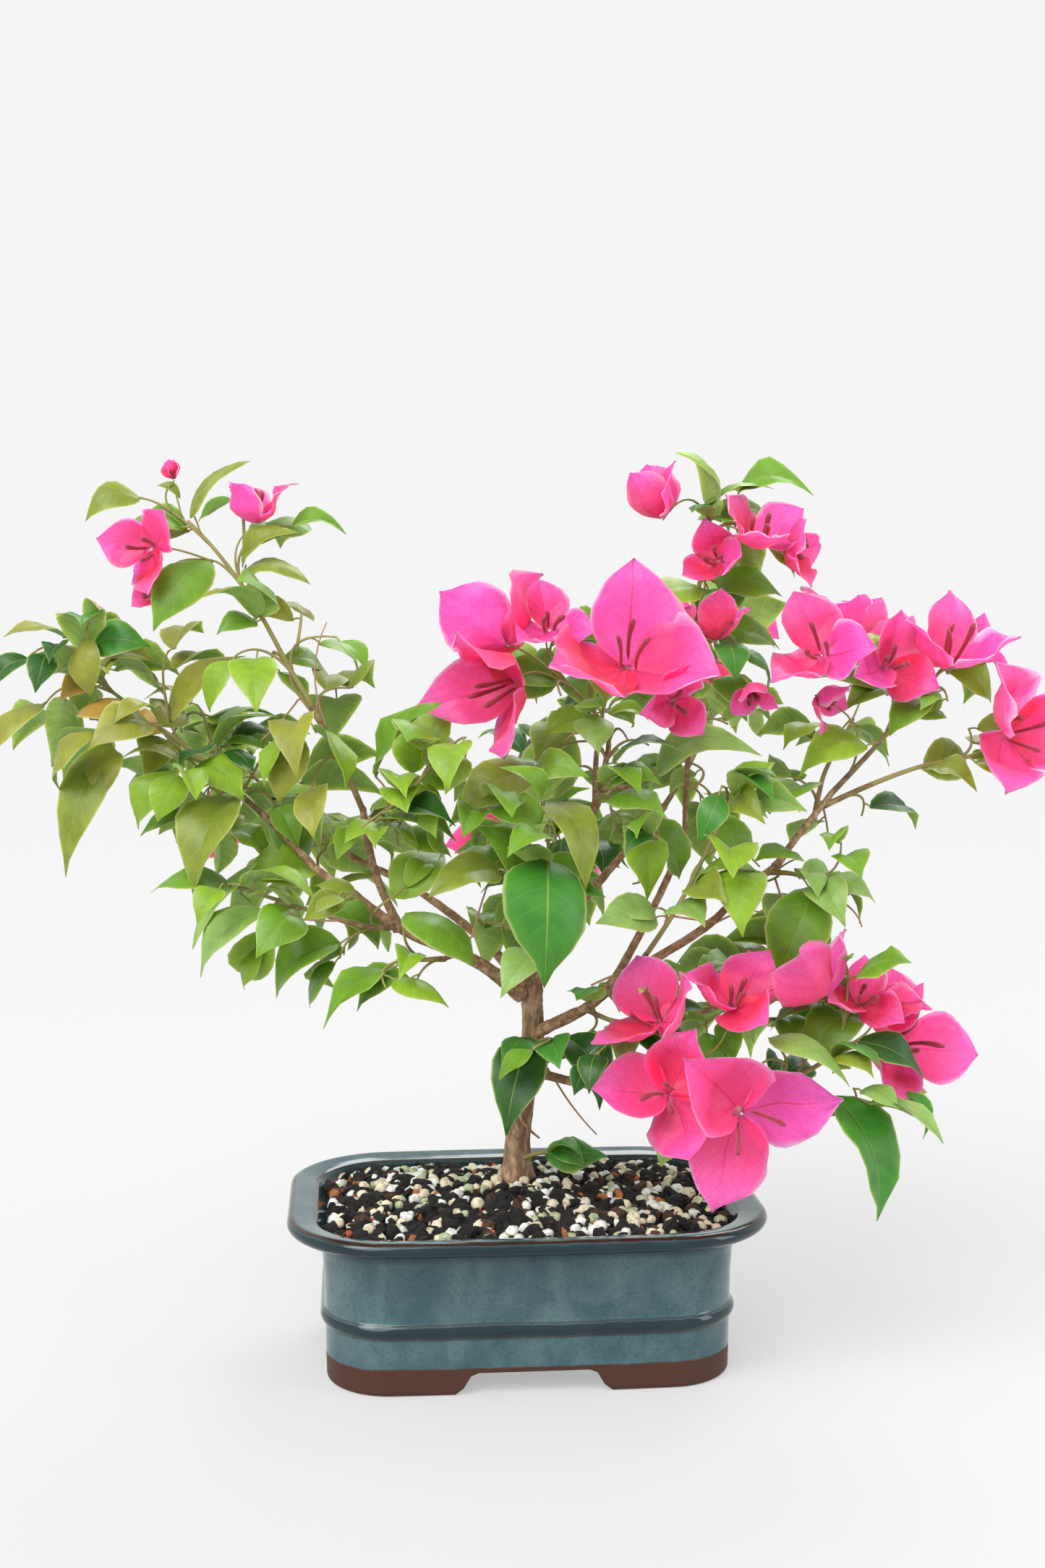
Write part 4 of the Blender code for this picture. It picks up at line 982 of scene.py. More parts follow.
# %% What already stands in the crown
class Room:
    """What already stands in the crown, for finding out whether one more piece is clear of it."""

    def __init__(self):
        self.items = []

    @staticmethod
    def ball_round(vertices):
        """The middle of a piece's points, and how far the furthest is from it."""
        middle = sum((Vector(v) for v in vertices), Vector()) / len(vertices)
        return middle, max((Vector(v) - middle).length for v in vertices)

    def add(self, owner, vertices, faces):
        """Let this piece take its room."""
        self.items.append((owner, *self.ball_round(vertices), BVHTree.FromPolygons(vertices, faces)))

    def is_clear(self, vertices, faces, but=None):
        """Whether the piece crosses nothing, apart from what one owner already has."""
        middle, radius = self.ball_round(vertices)
        tree = None
        for owner, centre, reach, other in self.items:
            if owner == but or (centre - middle).length > reach + radius:
                continue
            tree = tree or BVHTree.FromPolygons(vertices, faces)
            if tree.overlap(other):
                return False
        return True


# %% One mass of foliage
class Mass:
    """One mass of foliage: a stem, the twigs that branch from it, their leaves and its flower heads."""

    def __init__(self, name, room, stems):
        reach, twigs, leaves, _ = MASSES[name]
        self.name = name
        self.number = list(MASSES).index(name)
        self.room = room
        self.stems = stems
        self.reach = reach * MM
        self.counts = (twigs, leaves)
        self.dice = random.Random(FIRST_SEED + self.number)
        self.lines = [stems[name]]
        self.shapes = [stem_shape(stems[name])]
        self.twigs = []
        self.leaves = []
        self.blooms = []

    def is_own(self, place):
        """Whether a place is within reach of this stem and nearer to it than to any other."""
        distances = {name: min((p - place).length for p in line) for name, line in self.stems.items()}
        return distances[self.name] < self.reach and min(distances, key=distances.get) == self.name

    def keep(self, shape):
        """Fuse a shape on, so that it takes its room."""
        self.shapes.append(shape)
        self.room.add(self.name, *shape)

    def root_near(self, place):
        """The point of the twigs so far that a stalk to the place springs from, and its direction."""
        spots = [spot_on(line, share) for line in self.lines for share in ROOT_SHARES]
        return min(spots, key=lambda spot: (spot[0] + spot[1] * FORK_LEAD - place).length)

    def add_leaf(self, root, foot, tip, face, width):
        """Fuse a leaf on, if its blade is clear of everything and its stalk of what isn't its own."""
        if min(foot.z, tip.z) < CLEAR_OF_GROUND:
            return False
        whole = blade(root, foot, tip, face, width, ELBOW_ROOM)
        outer = blade(root, foot, tip, face, width, ELBOW_ROOM, petiole=False)
        if not self.room.is_clear(*whole, but=self.name) or not self.room.is_clear(*outer):
            return False
        self.keep(blade(root, foot, tip, face, width))
        self.leaves.append((root, foot, tip, face, width, len(self.lines) + SPRAYS * self.number))
        return True

    def add_twig(self, root, ahead, end):
        """Fuse a twig on, if it is clear of what isn't its own. It returns its line, or None."""
        line = bent(root, ahead, end)
        test = twig(line, [TWIG_RADIUS + ELBOW_ROOM] * len(line))
        if not self.room.is_clear(*test, but=self.name):
            return None
        radii = [TWIG_RADIUS * (1 - TWIG_TAPER * i / (len(line) - 1)) for i in range(len(line))]
        self.keep(twig(line, radii))
        self.lines.append(line)
        self.twigs.append(line)
        return line

    def leading_leaf(self, foot, tip, width):
        """A leaf at a given place, on a twig of its own where none is near, tilted until it is clear."""
        root, ahead = self.root_near(foot)
        if (foot - root).length > LONG_STALK:
            line = self.add_twig(root, ahead, foot)
            root = spot_on(line, 1 - SHORT_OF_END)[0] if line else root
        outwards = 1 if tip.y > FRONT_DEPTH else -1
        for tilt in LEAF_TILTS:
            for share in SHORTER:
                face = Vector((LEANS_RIGHT, tilt * outwards, 1))
                if self.add_leaf(root, foot, foot.lerp(tip, share), face, width * share):
                    return True
        return False

    def bloom(self, place, length, opening, turn, flare):
        """Three bracts round a stalk from the nearest twig, which runs on between them as a tube.

        The first bract stands above the opening, or in front of one that faces straight up, turned
        leftwards as seen from in front. Where one has no room, the head turns and shrinks a little.
        """
        opening = opening.normalized()
        line = bent(*self.root_near(place), place) + [place + opening * TUBE_LENGTH * length]
        if not self.room.is_clear(*twig(line, [TWIG_RADIUS + ELBOW_ROOM] * len(line)), but=self.name):
            return False
        upper = Vector((0, -1, 0)) if abs(opening.z) > STRAIGHT_UP else Vector((0, 0, 1))
        upper = (upper - opening * upper.dot(opening)).normalized()
        lean = math.radians(flare)
        for _ in range(TRIES):
            bracts = []
            sheets = []
            for k in range(BRACTS):
                angle = math.radians(turn + 360 / BRACTS * k)
                out = upper * math.cos(angle) + opening.cross(upper) * math.sin(angle)
                tip = place + (opening * math.cos(lean) + out * math.sin(lean)) * length
                foot = place + (opening * 2 + out).normalized() * BRACT_FOOT
                root = place + out * STALK_RADIUS * BRACT_ROOT
                sizes = (root, foot, tip, opening - out, BRACT_WIDTH * length)
                whole = blade(*sizes, ELBOW_ROOM, stations=BRACT_STATIONS)
                outer = blade(*sizes, ELBOW_ROOM, petiole=False, stations=BRACT_STATIONS)
                if self.room.is_clear(*whole, but=self.name) and self.room.is_clear(*outer):
                    bracts.append(blade(*sizes, stations=BRACT_STATIONS))
                    sheets.append((foot, tip, opening - out, BRACT_WIDTH * length, place, opening))
            if len(bracts) == BRACTS:
                break
            turn += self.dice.uniform(-SWING, SWING)
            length *= SHRINK
        self.keep(twig(line, [TWIG_RADIUS] * len(line)))
        for bract in bracts:
            self.keep(bract)
        self.blooms.append((line[:3], sheets))
        return len(bracts) == BRACTS

    def leafy(self, line, count, lengths=LEAF_LENGTHS):
        """Leaves by turns on either side of a twig, and one at its end."""
        side_first = self.dice.choice((-1, 1))
        for k in range(count):
            share = 1 - k * LEAVES_DOWN / max(count, 1)
            at, ahead = spot_on(line, share - SHORT_OF_END)
            flat = ahead.cross(Vector((0, 0, 1)))
            flat = flat.normalized() if flat.length > NEARLY_PLUMB else Vector((1, 0, 0))
            for attempt in range(TRIES):
                length = self.dice.uniform(*lengths) * MM * (END_LEAF if k == 0 else 1)
                spread = END_SPREAD if k == 0 else self.dice.uniform(*SIDE_SPREAD)
                out = flat * spread * side_first * (-1) ** (k + attempt % 2)
                wander = Vector([self.dice.uniform(-LEAF_WANDER, LEAF_WANDER) for _ in range(3)])
                drop = Vector((0, 0, self.dice.uniform(*LEAF_DROP)))
                way = (ahead * LEAF_AHEAD + out + wander - drop).normalized()
                foot = at + way * LEAF_FOOT * length
                tip = at + way * LEAF_TIP * length
                if not self.is_own(tip):
                    continue
                outwards = 1 if tip.y > FRONT_DEPTH else -1
                face = Vector((LEAF_FACING[0] * way.x, LEAF_FACING[1] * outwards, LEAF_FACING[2])) + wander
                if self.add_leaf(at, foot, tip, face, length * self.dice.uniform(*LEAF_SLIMNESS)):
                    break

    def grow_marks(self):
        """Grow the leading leaves and the flower heads."""
        for foot, tip, width in LEADING_LEAVES.get(self.name, ()):
            if not self.leading_leaf(mm(foot), mm(tip), width * MM):
                print(self.name, "has no room for the leaf at", foot)
        for place, length, opening, turn, flare in BLOOMS.get(self.name, ()):
            if not self.bloom(mm(place), length * MM, Vector(opening), turn, flare):
                print(self.name, "has no room for all of the flower head at", place)

    def distance_from_ends(self, place):
        """How far a place is from the nearest end of a twig so far."""
        return min([(place - line[-1]).length for line in self.twigs] or [1])

    def grow_twigs(self, count, leaves, lengths=LEAF_LENGTHS):
        """Grow twigs with their leaves where there is most room."""
        stem = self.stems[self.name]
        for _ in range(count):
            tries = []
            for _ in range(TRIES * 2):
                at = self.dice.choice(stem[len(stem) // 4:])
                way = Vector([self.dice.gauss(0, 1) for _ in range(3)]).normalized()
                end = at + way * self.reach * self.dice.uniform(*TWIG_REACH)
                if self.is_own(end) and end.z > CLEAR_OF_GROUND:
                    tries.append(end)
            for end in sorted(tries, key=self.distance_from_ends, reverse=True):
                root, ahead = self.root_near(end)
                line = self.add_twig(root, ahead, end)
                if line:
                    self.leafy(line, leaves, lengths)
                    break
        self.leafy(stem, 2, lengths)


# %% Grow it
def standing(name):
    """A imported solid's points and faces, moved into the tree's own frame."""
    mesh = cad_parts[name].data
    middle = Vector(HERE)
    return [v.co - middle for v in mesh.vertices], [tuple(p.vertices) for p in mesh.polygons]


room = Room()
for name in ("pot", "soil", "trunk"):
    room.add(name, *standing(name))
for name, (radii, points) in BOUGHS.items():
    line = smooth_line([mm(p) for p in points], STEM_STEPS)
    room.add(name, *loft(tube_rings(line, tapered(len(line), radii), BOUGH_CORNERS)))
stems = {name: smooth_line([mm(p) for p in row[-1]], STEM_STEPS) for name, row in MASSES.items()}
masses = [Mass(name, room, stems) for name in MASSES]
for mass in masses:
    room.add(mass.name, *mass.shapes[0])
for mass in masses:
    mass.grow_marks()
for mass in masses:
    mass.grow_twigs(*mass.counts)

# %% [markdown]
# The grown masses are compared with their solids. A drawn stem starts inside its limb, where the solid is
# cut back, so it reaches a few millimetres further. A solid keeps only what hangs together in one shell,
# so it lacks a few bracts that are drawn here, and one of those reaches furthest.

# %% How far the grown masses reach past their solids
furthest = 0
for mass in masses:
    grown = np.array([tuple(v) for shape in mass.shapes for v in shape[0]]) + HERE
    low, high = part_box(mass.name)
    off = np.abs(np.concatenate([grown.min(0) - low, grown.max(0) - high])).max()
    furthest = max(furthest, off)
    if off > MM:
        print(mass.name, "is off by", round(off / MM, 2), "mm")
print("the crown is within", round(furthest / MM, 2), "mm of its solids")

# %% [markdown]
# The same rule then carries on within the same reach. The flower heads first take room for their drawn
# bracts, which are fuller than the plain ones, and for the light in front of them. Then the twigs that
# stand already get more leaves, and two rounds of finer twigs follow, the last with the smallest and
# youngest leaves. Where the real crown is open, only a share of these grow.

# %% Room for the flower heads
FULLER_BRACT = 1.2
BRACT_DEPTH = 0.08
LIGHT_START = 0.2
LIGHT_REACH = 1.5
LIGHT_WIDE = (0.45, 0.6)
TOWARDS_FRONT = Vector((0, -1, 0.1))


def guard_heads(mass):
    """Keep later leaves out of the drawn bracts of a mass and out of their light."""
    for _, sheets in mass.blooms:
        for foot, tip, face, width, place, opening in sheets:
            sizes = (place, foot, tip, face, width * FULLER_BRACT, BRACT_DEPTH * (tip - foot).length)
            mass.room.add(mass.name, *blade(*sizes, petiole=False, stations=BRACT_STATIONS))
        length = (tip - foot).length
        towards = (opening + TOWARDS_FRONT).normalized() if place.y < FRONT_DEPTH else opening
        way = [place + towards * length * share for share in (LIGHT_START, LIGHT_REACH)]
        cone = tube_rings(way, [length * wide for wide in LIGHT_WIDE], BOUGH_CORNERS)
        mass.room.add("light", *loft(cone))


for mass in masses:
    guard_heads(mass)
print("pieces that take room:", len(room.items))

# %% Finer twigs: how many for each of the first ones, the leaves on each and their lengths
MORE_LEAVES = 2
MORE_LENGTHS = (26, 42)
FINER_ROUNDS = ((1.0, 3, MORE_LENGTHS), (0.5, 3, (16, 28)))

# The share that grows where the crown is open
OPENER = {
    "foliage_left_top": 0.35, "foliage_left_arm": 0.85, "foliage_left_under": 0.6,
    "foliage_left_low": 0.2, "foliage_right_top": 0.6, "foliage_right_middle": 0.25,
    "foliage_right_arch": 0.2, "foliage_right_far": 0.2, "foliage_right_low": 0.5,
    "foliage_right_under": 0.3, "foliage_right_hanging": 0.2, "foliage_centre_front": 0.5,
    "foliage_centre_right": 0.6, "foliage_centre_low": 0.4, "foliage_front_low": 0,
    "foliage_trunk_foot": 0, "foliage_back_right": 0.5, "foliage_back_middle": 0.8,
    "foliage_back_top": 0.6, "foliage_back_arch": 0.3,
}
for mass in masses:
    mass.dice = random.Random(SECOND_SEED + mass.number)
    for line in [mass.stems[mass.name], *mass.twigs]:
        if mass.dice.random() < OPENER.get(mass.name, 1):
            mass.leafy(line, MORE_LEAVES, MORE_LENGTHS)
for more, leaves_each, lengths in FINER_ROUNDS:
    for mass in masses:
        more_twigs = round(more * mass.counts[0] * OPENER.get(mass.name, 1))
        if more_twigs:
            mass.grow_twigs(more_twigs, leaves_each, lengths)
print("leaves", sum(len(m.leaves) for m in masses), "twigs", sum(len(m.twigs) for m in masses),
      "flower heads", sum(len(m.blooms) for m in masses))

# %% [markdown]
# ## Bark
#
# The trunk and the older boughs have dry grey-brown bark with shallow upright cracks and low swellings.
# Each limb is one closed tube along a smooth line. Its radius falls evenly, swells where it leaves its
# parent, and is pushed in and out by bumps that are drawn out along the limb.


# %% Limb skins
CURVE_STEPS = 16
LEAST_RINGS = 8


def smooth_path(points, count):
    """So many evenly spaced points on the Catmull-Rom curve through the given ones."""
    p = np.concatenate([2 * points[:1] - points[1:2], points, 2 * points[-1:] - points[-2:-1]])
    t = np.linspace(0, 1, CURVE_STEPS, endpoint=False)[:, None]
    a, b, c, d = p[:-3, None], p[1:-2, None], p[2:-1, None], p[3:, None]
    curve = 0.5 * (2 * b + (c - a) * t + (2 * a - 5 * b + 4 * c - d) * t ** 2
                   + (3 * b - a - 3 * c + d) * t ** 3)
    curve = np.concatenate([curve.reshape(-1, 3), points[-1:]])
    run = np.r_[0, np.cumsum(np.linalg.norm(np.diff(curve, axis=0), axis=1))]
    even = np.linspace(0, run[-1], count)
    return np.stack([np.interp(even, run, curve[:, k]) for k in range(3)], -1), run[-1]


def limb_skin(points, radii, step, around, seed, depth=0.09, collar=0.5):
    """Radius * (1 + collar * e^(-way / 2.2 radii)) * (1 + depth * bumps + 0.05 * swellings).

    The way runs from the limb's foot. The bumps are drawn out along the limb, with finer ones on them.
    """
    length = smooth_path(points, LEAST_RINGS)[1]
    count = max(round(length / step), LEAST_RINGS)
    line = smooth_path(points, count)[0]
    share = np.linspace(0, 1, count)
    radius = (radii[0] + (radii[1] - radii[0]) * share) * MM
    radius = radius * (1 + collar * np.exp(-share * length / (2.2 * radius[0])))
    turn = turns(around)
    drawn = np.stack([np.cos(turn) + 0 * share[:, None], np.sin(turn) + 0 * share[:, None],
                      (share * length / (4 * radius[0]))[:, None] + 0 * turn], -1)
    bumps = unevenness(drawn, 0.75, seed) + 0.5 * unevenness(drawn * [1, 1, 2.2], 0.33, seed + 1)
    swell = unevenness(np.stack([share * length / MM] + [0 * share] * 2, -1), 14, seed + 2)
    return tubes(line, radius[:, None] * (1 + depth * bumps + 0.05 * swell[:, None]), around)


# %% Bark
CRACKED = 0.4


def bark_finish(name, stretch, pale, dark):
    """Dry bark: grey-brown with darker cracks, paler plates and fine fibres, dull all over."""
    bark = Finish(name, pale, 0.9)
    place = bark.place((1, 1, stretch))
    plates = bark.between(bark.noise(4 * MM, 4, place, 0.4), 0.38, 0.66)
    cracks = bark.between(bark.cells(2.6 * MM, place), 0.02, 0.5)
    blotches = bark.between(bark.noise(1.2 * MM, 3, place), 0.45, 0.7)
    fibres = bark.noise(0.9 * MM, 4, bark.place((1, 1, 0.3 * stretch)), 0.2)
    body = bark.mix(plates, dark, pale)
    body = bark.mix(blotches, body, darker(dark, 0.6), 0.5)
    body = bark.mix(bark.between(fibres, 0.5, 0.7), body, darker(dark, 0.5), 0.5)
    bark.colour(body)
    relief = bark.maths("MULTIPLY", plates, 1 - CRACKED)
    relief = bark.maths("ADD", relief, bark.maths("MULTIPLY", cracks, CRACKED))
    relief = bark.maths("SUBTRACT", relief, bark.maths("MULTIPLY", fibres, 0.5))
    bark.bump(relief, 0.5 * MM, 0.8)
    return bark.made


trunk_bark = bark_finish("trunk bark", 0.35, srgb(190, 160, 128), srgb(130, 98, 74))
bough_bark = bark_finish("bough bark", 1.0, srgb(188, 156, 120), srgb(138, 102, 74))

# %% The trunk, with the lobes of its root flare and plates of bark that stand out from it
TRUNK_SUNK = 62
TRUNK_TOP = (4.2, 5.6, 164)
TRUNK_STEP = 0.45 * MM
TRUNK_SIDES = 64
TRUNK_SEED = 5
PLATE_SEED = 77
FLARE_RADIUS = 2.0 * MM
FLARE_HEIGHT = 5 * MM
FLARE_LOBES = 4
LOBE_DEPTH = 0.45
PLATE = 0.3 * MM
PLATE_SIZE = 9 * MM

trunk_points = places(((*TRUNK_PATH[0][:2], TRUNK_SUNK), *TRUNK_PATH[1:], TRUNK_TOP))
trunk_skin = limb_skin(trunk_points, TRUNK_RADII, TRUNK_STEP, TRUNK_SIDES, TRUNK_SEED, depth=0.07, collar=0)
centre = trunk_skin.mean(1, keepdims=True)
height = np.maximum(trunk_skin[..., 2:] - TRUNK_PATH[0][2] * MM, 0)
lobes = 1 + LOBE_DEPTH * np.cos(FLARE_LOBES * turns(TRUNK_SIDES))[None, :, None]
flare = FLARE_RADIUS * np.exp(-height / FLARE_HEIGHT) * lobes
peeling = smooth_between(0.25, 0.5, unevenness(trunk_skin * [1, 1, 0.45], PLATE_SIZE, PLATE_SEED))
trunk_skin = trunk_skin + unit(trunk_skin - centre) * (flare + PLATE * peeling[..., None])
piece("trunk_bark", joined([(trunk_skin[None], 0)]), [trunk_bark], nodes=("trunk",))

# %% Boughs, the pruned stubs on the trunk and a strip of bark that peels off
BOUGH_STEP = 0.8 * MM
BOUGH_SIDES = 20
BOUGH_SEED = 40
STUBS = (
    ((1.9, 1.5), ((3, 5, 158), (1, 3, 163), (-3, 2, 170))),
    ((1.6, 1.3), ((1, 3, 156), (-4, 0, 160), (-8, 0, 165))),
    ((1.5, 1.2), ((5, 4, 158), (6, 1, 163), (6, -1, 170))),
    ((1.6, 1.2), ((6, 10, 118), (9, 9, 117), (12, 8.4, 116.4))),
    ((0.9, 0.4), ((-1, 10, 100), (0.5, 8.2, 95), (4, 7.4, 91), (8, 7.4, 87.5))),
)
grids = []
for index, (radii, points) in enumerate((*BOUGHS.values(), *STUBS)):
    skin = limb_skin(places(points), radii, BOUGH_STEP, BOUGH_SIDES, BOUGH_SEED + 3 * index)
    grids.append((skin[None], 0))
piece("bough_bark", joined(grids), [bough_bark], nodes=tuple(BOUGHS))

# %% [markdown]
# ## Twigs, leaf stalks and flower stalks
#
# Young wood is olive and smooth, and it turns brown towards the bough. A twig is a curve through its
# root, its bend and its end. All twigs have the same number of rings, so they are worked out in one go.
# A leaf stalk starts on the nearest point of the drawn twigs and runs a little way into its blade.

# %% Twig lines
TWIG_ROWS = 10
STALK_ROWS = 5
STEM_ROWS = 60
WOOD_STEPS = 40
WOOD_PARTS = 20
INTO_BLADE = 0.06
STALK_SAG = 0.6 * MM


def through_three(points, rows):
    """The curve through three points each: a (1 - t)(1 - 2t) + 4 b t (1 - t) + c t (2t - 1)."""
    t = np.linspace(0, 1, rows)[:, None]
    a, b, c = (points[:, k:k + 1] for k in range(3))
    return a * (1 - t) * (1 - 2 * t) + 4 * b * t * (1 - t) + c * t * (2 * t - 1)


def vectors(rows):
    """Rows of mathutils vectors as one array."""
    return np.array([[tuple(v) for v in row] for row in rows])


def column(rows, k):
    """The vector at one place of every row, as one array."""
    return np.array([tuple(row[k]) for row in rows])


def nearest_wood(points):
    """The place on the drawn stems and twigs that is nearest to each point, a few points at a time."""
    parts = np.array_split(points, WOOD_PARTS)
    return np.concatenate([wood[np.linalg.norm(part[:, None] - wood, axis=-1).argmin(1)] for part in parts])


stem_lines = [smooth_path(np.array([tuple(p) for p in stems[m.name]]), STEM_ROWS)[0] for m in masses]
twig_lines = through_three(vectors([line for m in masses for line in m.twigs]), TWIG_ROWS)
bloom_lines = through_three(vectors([line for m in masses for line, _ in m.blooms]), TWIG_ROWS)
along_twigs = [through_three(vectors(m.twigs), WOOD_STEPS).reshape(-1, 3) for m in masses if m.twigs]
wood = np.concatenate(stem_lines + along_twigs)
leaf_rows = [leaf for m in masses for leaf in m.leaves]
root, foot, tip, face = (column(leaf_rows, k) for k in range(4))
root = nearest_wood(root)
stalk_end = foot + (tip - foot) * INTO_BLADE
stalk_middle = (root + stalk_end) / 2 + [0, 0, STALK_SAG]
stalk_lines = through_three(np.stack([root, stalk_middle, stalk_end], 1), STALK_ROWS)
print("places on the wood", len(wood), "and leaf stalks", len(stalk_lines))

# %% Bare twigs: root, bend and end of each dead one
BARE_TWIGS = (
    ((-24, -28, 176), (-19, -32, 196), (-13, -34, 212)),
    ((104, -24, 190), (114, -26, 195), (125, -26, 195)),
    ((118, -26, 195), (126, -26, 194), (132, -26, 192)),
    ((130, -26, 193), (133, -27, 196), (135, -28, 199)),
    ((130, -26, 193), (136, -26, 188), (139, -26, 182)),
    ((-72, -22, 187), (-92, -25, 188), (-109, -26, 192)),
    ((-84, -21, 268), (-96, -18, 286), (-89, -18, 296)),
    ((-92, -19, 278), (-98, -18, 270), (-108, -18, 260)),
    ((-80, -21, 262), (-86, -18, 286), (-81, -18, 308)),
    ((0, -32, 204), (-6, -32, 212), (-12, -34, 217)),
    ((76, -20, 182), (88, -22, 188), (98, -22, 188)),
    ((12, 4, 118), (20, -4, 105), (31, -6, 92)),
    ((34, -18, 250), (24, -24, 262), (15, -26, 260)),
    ((-52, -28, 226), (-50, -31, 232), (-46, -34, 238)),
)

# %% Twigs
STEM_WIDE = (1.3 * MM, 0.7 * MM)
STEM_SIDES = 8
OLD_SHARE = 0.35
TAPER = 0.6
BARE_RADIUS = 0.5 * MM
GREEN_RADIUS = 0.72 * MM
FLOWER_STALK_RADIUS = 0.55 * MM
LEAF_STALK_RADII = np.array([0.55, 0.42, 0.4, 0.4, 0.3]) * MM
TWIG_SIDES = 6
STALK_SIDES = 5
OLD, YOUNG, STALK, DEAD = range(4)

twig_finishes = [
    bark_finish("twig bark", 1.0, srgb(172, 146, 106), srgb(128, 102, 70)),
    mottled("young wood", srgb(142, 138, 76), 0.6, 3 * MM, 2, srgb(150, 150, 82), srgb(136, 114, 68)),
    mottled("leaf stalk", srgb(140, 150, 78), 0.55, 5 * MM, 2, srgb(132, 150, 74), srgb(160, 130, 84)),
    mottled("dead twig", srgb(184, 142, 112), 0.7, 4 * MM, 3, srgb(196, 152, 122), srgb(150, 108, 84)),
]
share = np.linspace(0, 1, STEM_ROWS)
stem_radii = STEM_WIDE[0] + (STEM_WIDE[1] - STEM_WIDE[0]) * share
stem_finish = np.where(share[1:] < OLD_SHARE, OLD, YOUNG)
bare_lines = through_three(np.array([places(row) for row in BARE_TWIGS]), TWIG_ROWS)
bare_lines[:, 0] = nearest_wood(bare_lines[:, 0])
taper = np.linspace(1, TAPER, TWIG_ROWS)
grids = []
for lines, radii, sides, finish in (
        (np.array(stem_lines), stem_radii, STEM_SIDES, stem_finish),
        (bare_lines, BARE_RADIUS * taper, TWIG_SIDES, DEAD),
        (twig_lines, GREEN_RADIUS * taper, TWIG_SIDES, YOUNG),
        (bloom_lines, FLOWER_STALK_RADIUS * taper, TWIG_SIDES, STALK),
        (stalk_lines, LEAF_STALK_RADII, STALK_SIDES, STALK)):
    grids.append((tubes(lines, radii[None, :, None], sides), finish))
piece("twigs", joined(grids), twig_finishes)

# %% [markdown]
# ## Leaves
#
# A leaf of this plant is broad and oval with a drawn-out tip. Its halves fold up or down from the midrib
# and its edge waves a little. Across, the blade has two strips on either side of a narrow midrib, and four
# below. Along, nine rings follow the outline's half width, which is a power of the distance from the
# foot times a power of the distance from the tip, drawn in just before the tip. Bracts are thin sheets
# of the same kind, so both use the helpers of the next cell.


# %% Thin closed sheets
def outline(along, foot_power, tip_power, drip):
    """Half width: along^p (1 - along)^q (1 - d along^6), about 0.5 at its widest and never nothing."""
    widest = foot_power / (foot_power + tip_power)
    top = widest ** foot_power * (1 - widest) ** tip_power
    drawn_in = 1 - drip * along ** 6
    return 0.5 * along ** foot_power * (1 - along) ** tip_power * drawn_in / top + 0.006


def drawer(seed, count):
    """A function that draws a number between two limits for each of so many sheets."""
    dice = np.random.default_rng(seed)
    return lambda low, high: dice.uniform(low, high, (count, 1, 1))


def sheet_ways(foot, tip, face):
    """The way along each sheet, its side and the way over it, and how long it is."""
    along = tip - foot
    side = unit(np.cross(along, face))
    over = unit(np.cross(side, along))
    over = over * np.sign((over * face).sum(-1, keepdims=True))
    side = unit(np.cross(over, along))
    return (along, side, over), np.linalg.norm(along, axis=-1)[:, None, None]


def sheet_points(foot, ways, v, across, height, lift, twist):
    """Foot + along * v + side * x + over * z, for each sheet in its own ways.

    X and z are across and height, turned by the twist, and the lift of the middle line is added to z.
    """
    x = across * np.cos(twist) - height * np.sin(twist)
    z = across * np.sin(twist) + height * np.cos(twist) + lift
    foot, along, side, over = (a[:, None, None] for a in (foot, *ways))
    return foot + along * v[..., None] + side * x[..., None] + over * z[..., None]


def sheet_triangles(count, rows, around, inside):
    """The grid's quads cut so that the outer side's triangles lie behind the inner side's own."""
    a, b, c, d = (corner.ravel() for corner in np.moveaxis(tube_faces(count, rows, around)[0], -1, 0))
    at = np.tile(np.arange(around), count * (rows - 1))
    inner = (at < inside - 1)[:, None]
    first = np.where(inner, np.stack([a, b, c], -1), np.stack([a, b, d], -1))
    second = np.where(inner, np.stack([a, c, d], -1), np.stack([b, c, d], -1))
    return np.stack([first, second], 1).reshape(-1, 3)


def sheet_piece(name, points, along, across, inside, kinds, end_kind, finishes, nodes=()):
    """One piece of sheets, whose UV is across and along, with the edges between their two sides sharp.

    Kinds is the finish of each place round each sheet, and the ends of all have one finish.
    """
    count, rows, around = points.shape[:3]
    ends = tube_faces(count, rows, around)[1]
    faces = (sheet_triangles(count, rows, around, inside), ends)
    sides = np.broadcast_to(kinds, (count, rows - 1, around)).ravel().repeat(2)
    picks = (sides, np.full(len(ends), end_kind))
    uv = np.stack(np.broadcast_arrays(across[None], along[:, None]), -1)
    uv = np.broadcast_to(uv, (count, rows, around, 2))
    mesh = piece(name, (points, faces, picks), finishes, nodes, uv).data
    edges = np.empty(2 * len(mesh.edges), np.int32)
    mesh.edges.foreach_get("vertices", edges)
    edges = edges.reshape(-1, 2) % around
    sharp = (edges[:, 0] == edges[:, 1]) & np.isin(edges[:, 0], (0, inside - 1))
    mesh.attributes.new("sharp_edge", "BOOLEAN", "EDGE").data.foreach_set("value", sharp)


# %% Leaf blades
LEAF_ALONG = np.array([0.0, 0.05, 0.15, 0.28, 0.43, 0.59, 0.75, 0.89, 1.0])
LEAF_ACROSS = np.array([1, 0.5, 0.022, -0.022, -0.5, -1, -0.5, 0, 0.5])
LEAF_ABOVE = 6
UNDERSIDE = np.where(np.arange(len(LEAF_ACROSS)) < LEAF_ABOVE, 0, 1)
LEAF_THICK = 0.3 * MM
LEAF_SEED = 7
FULLER_LEAF = 1.04

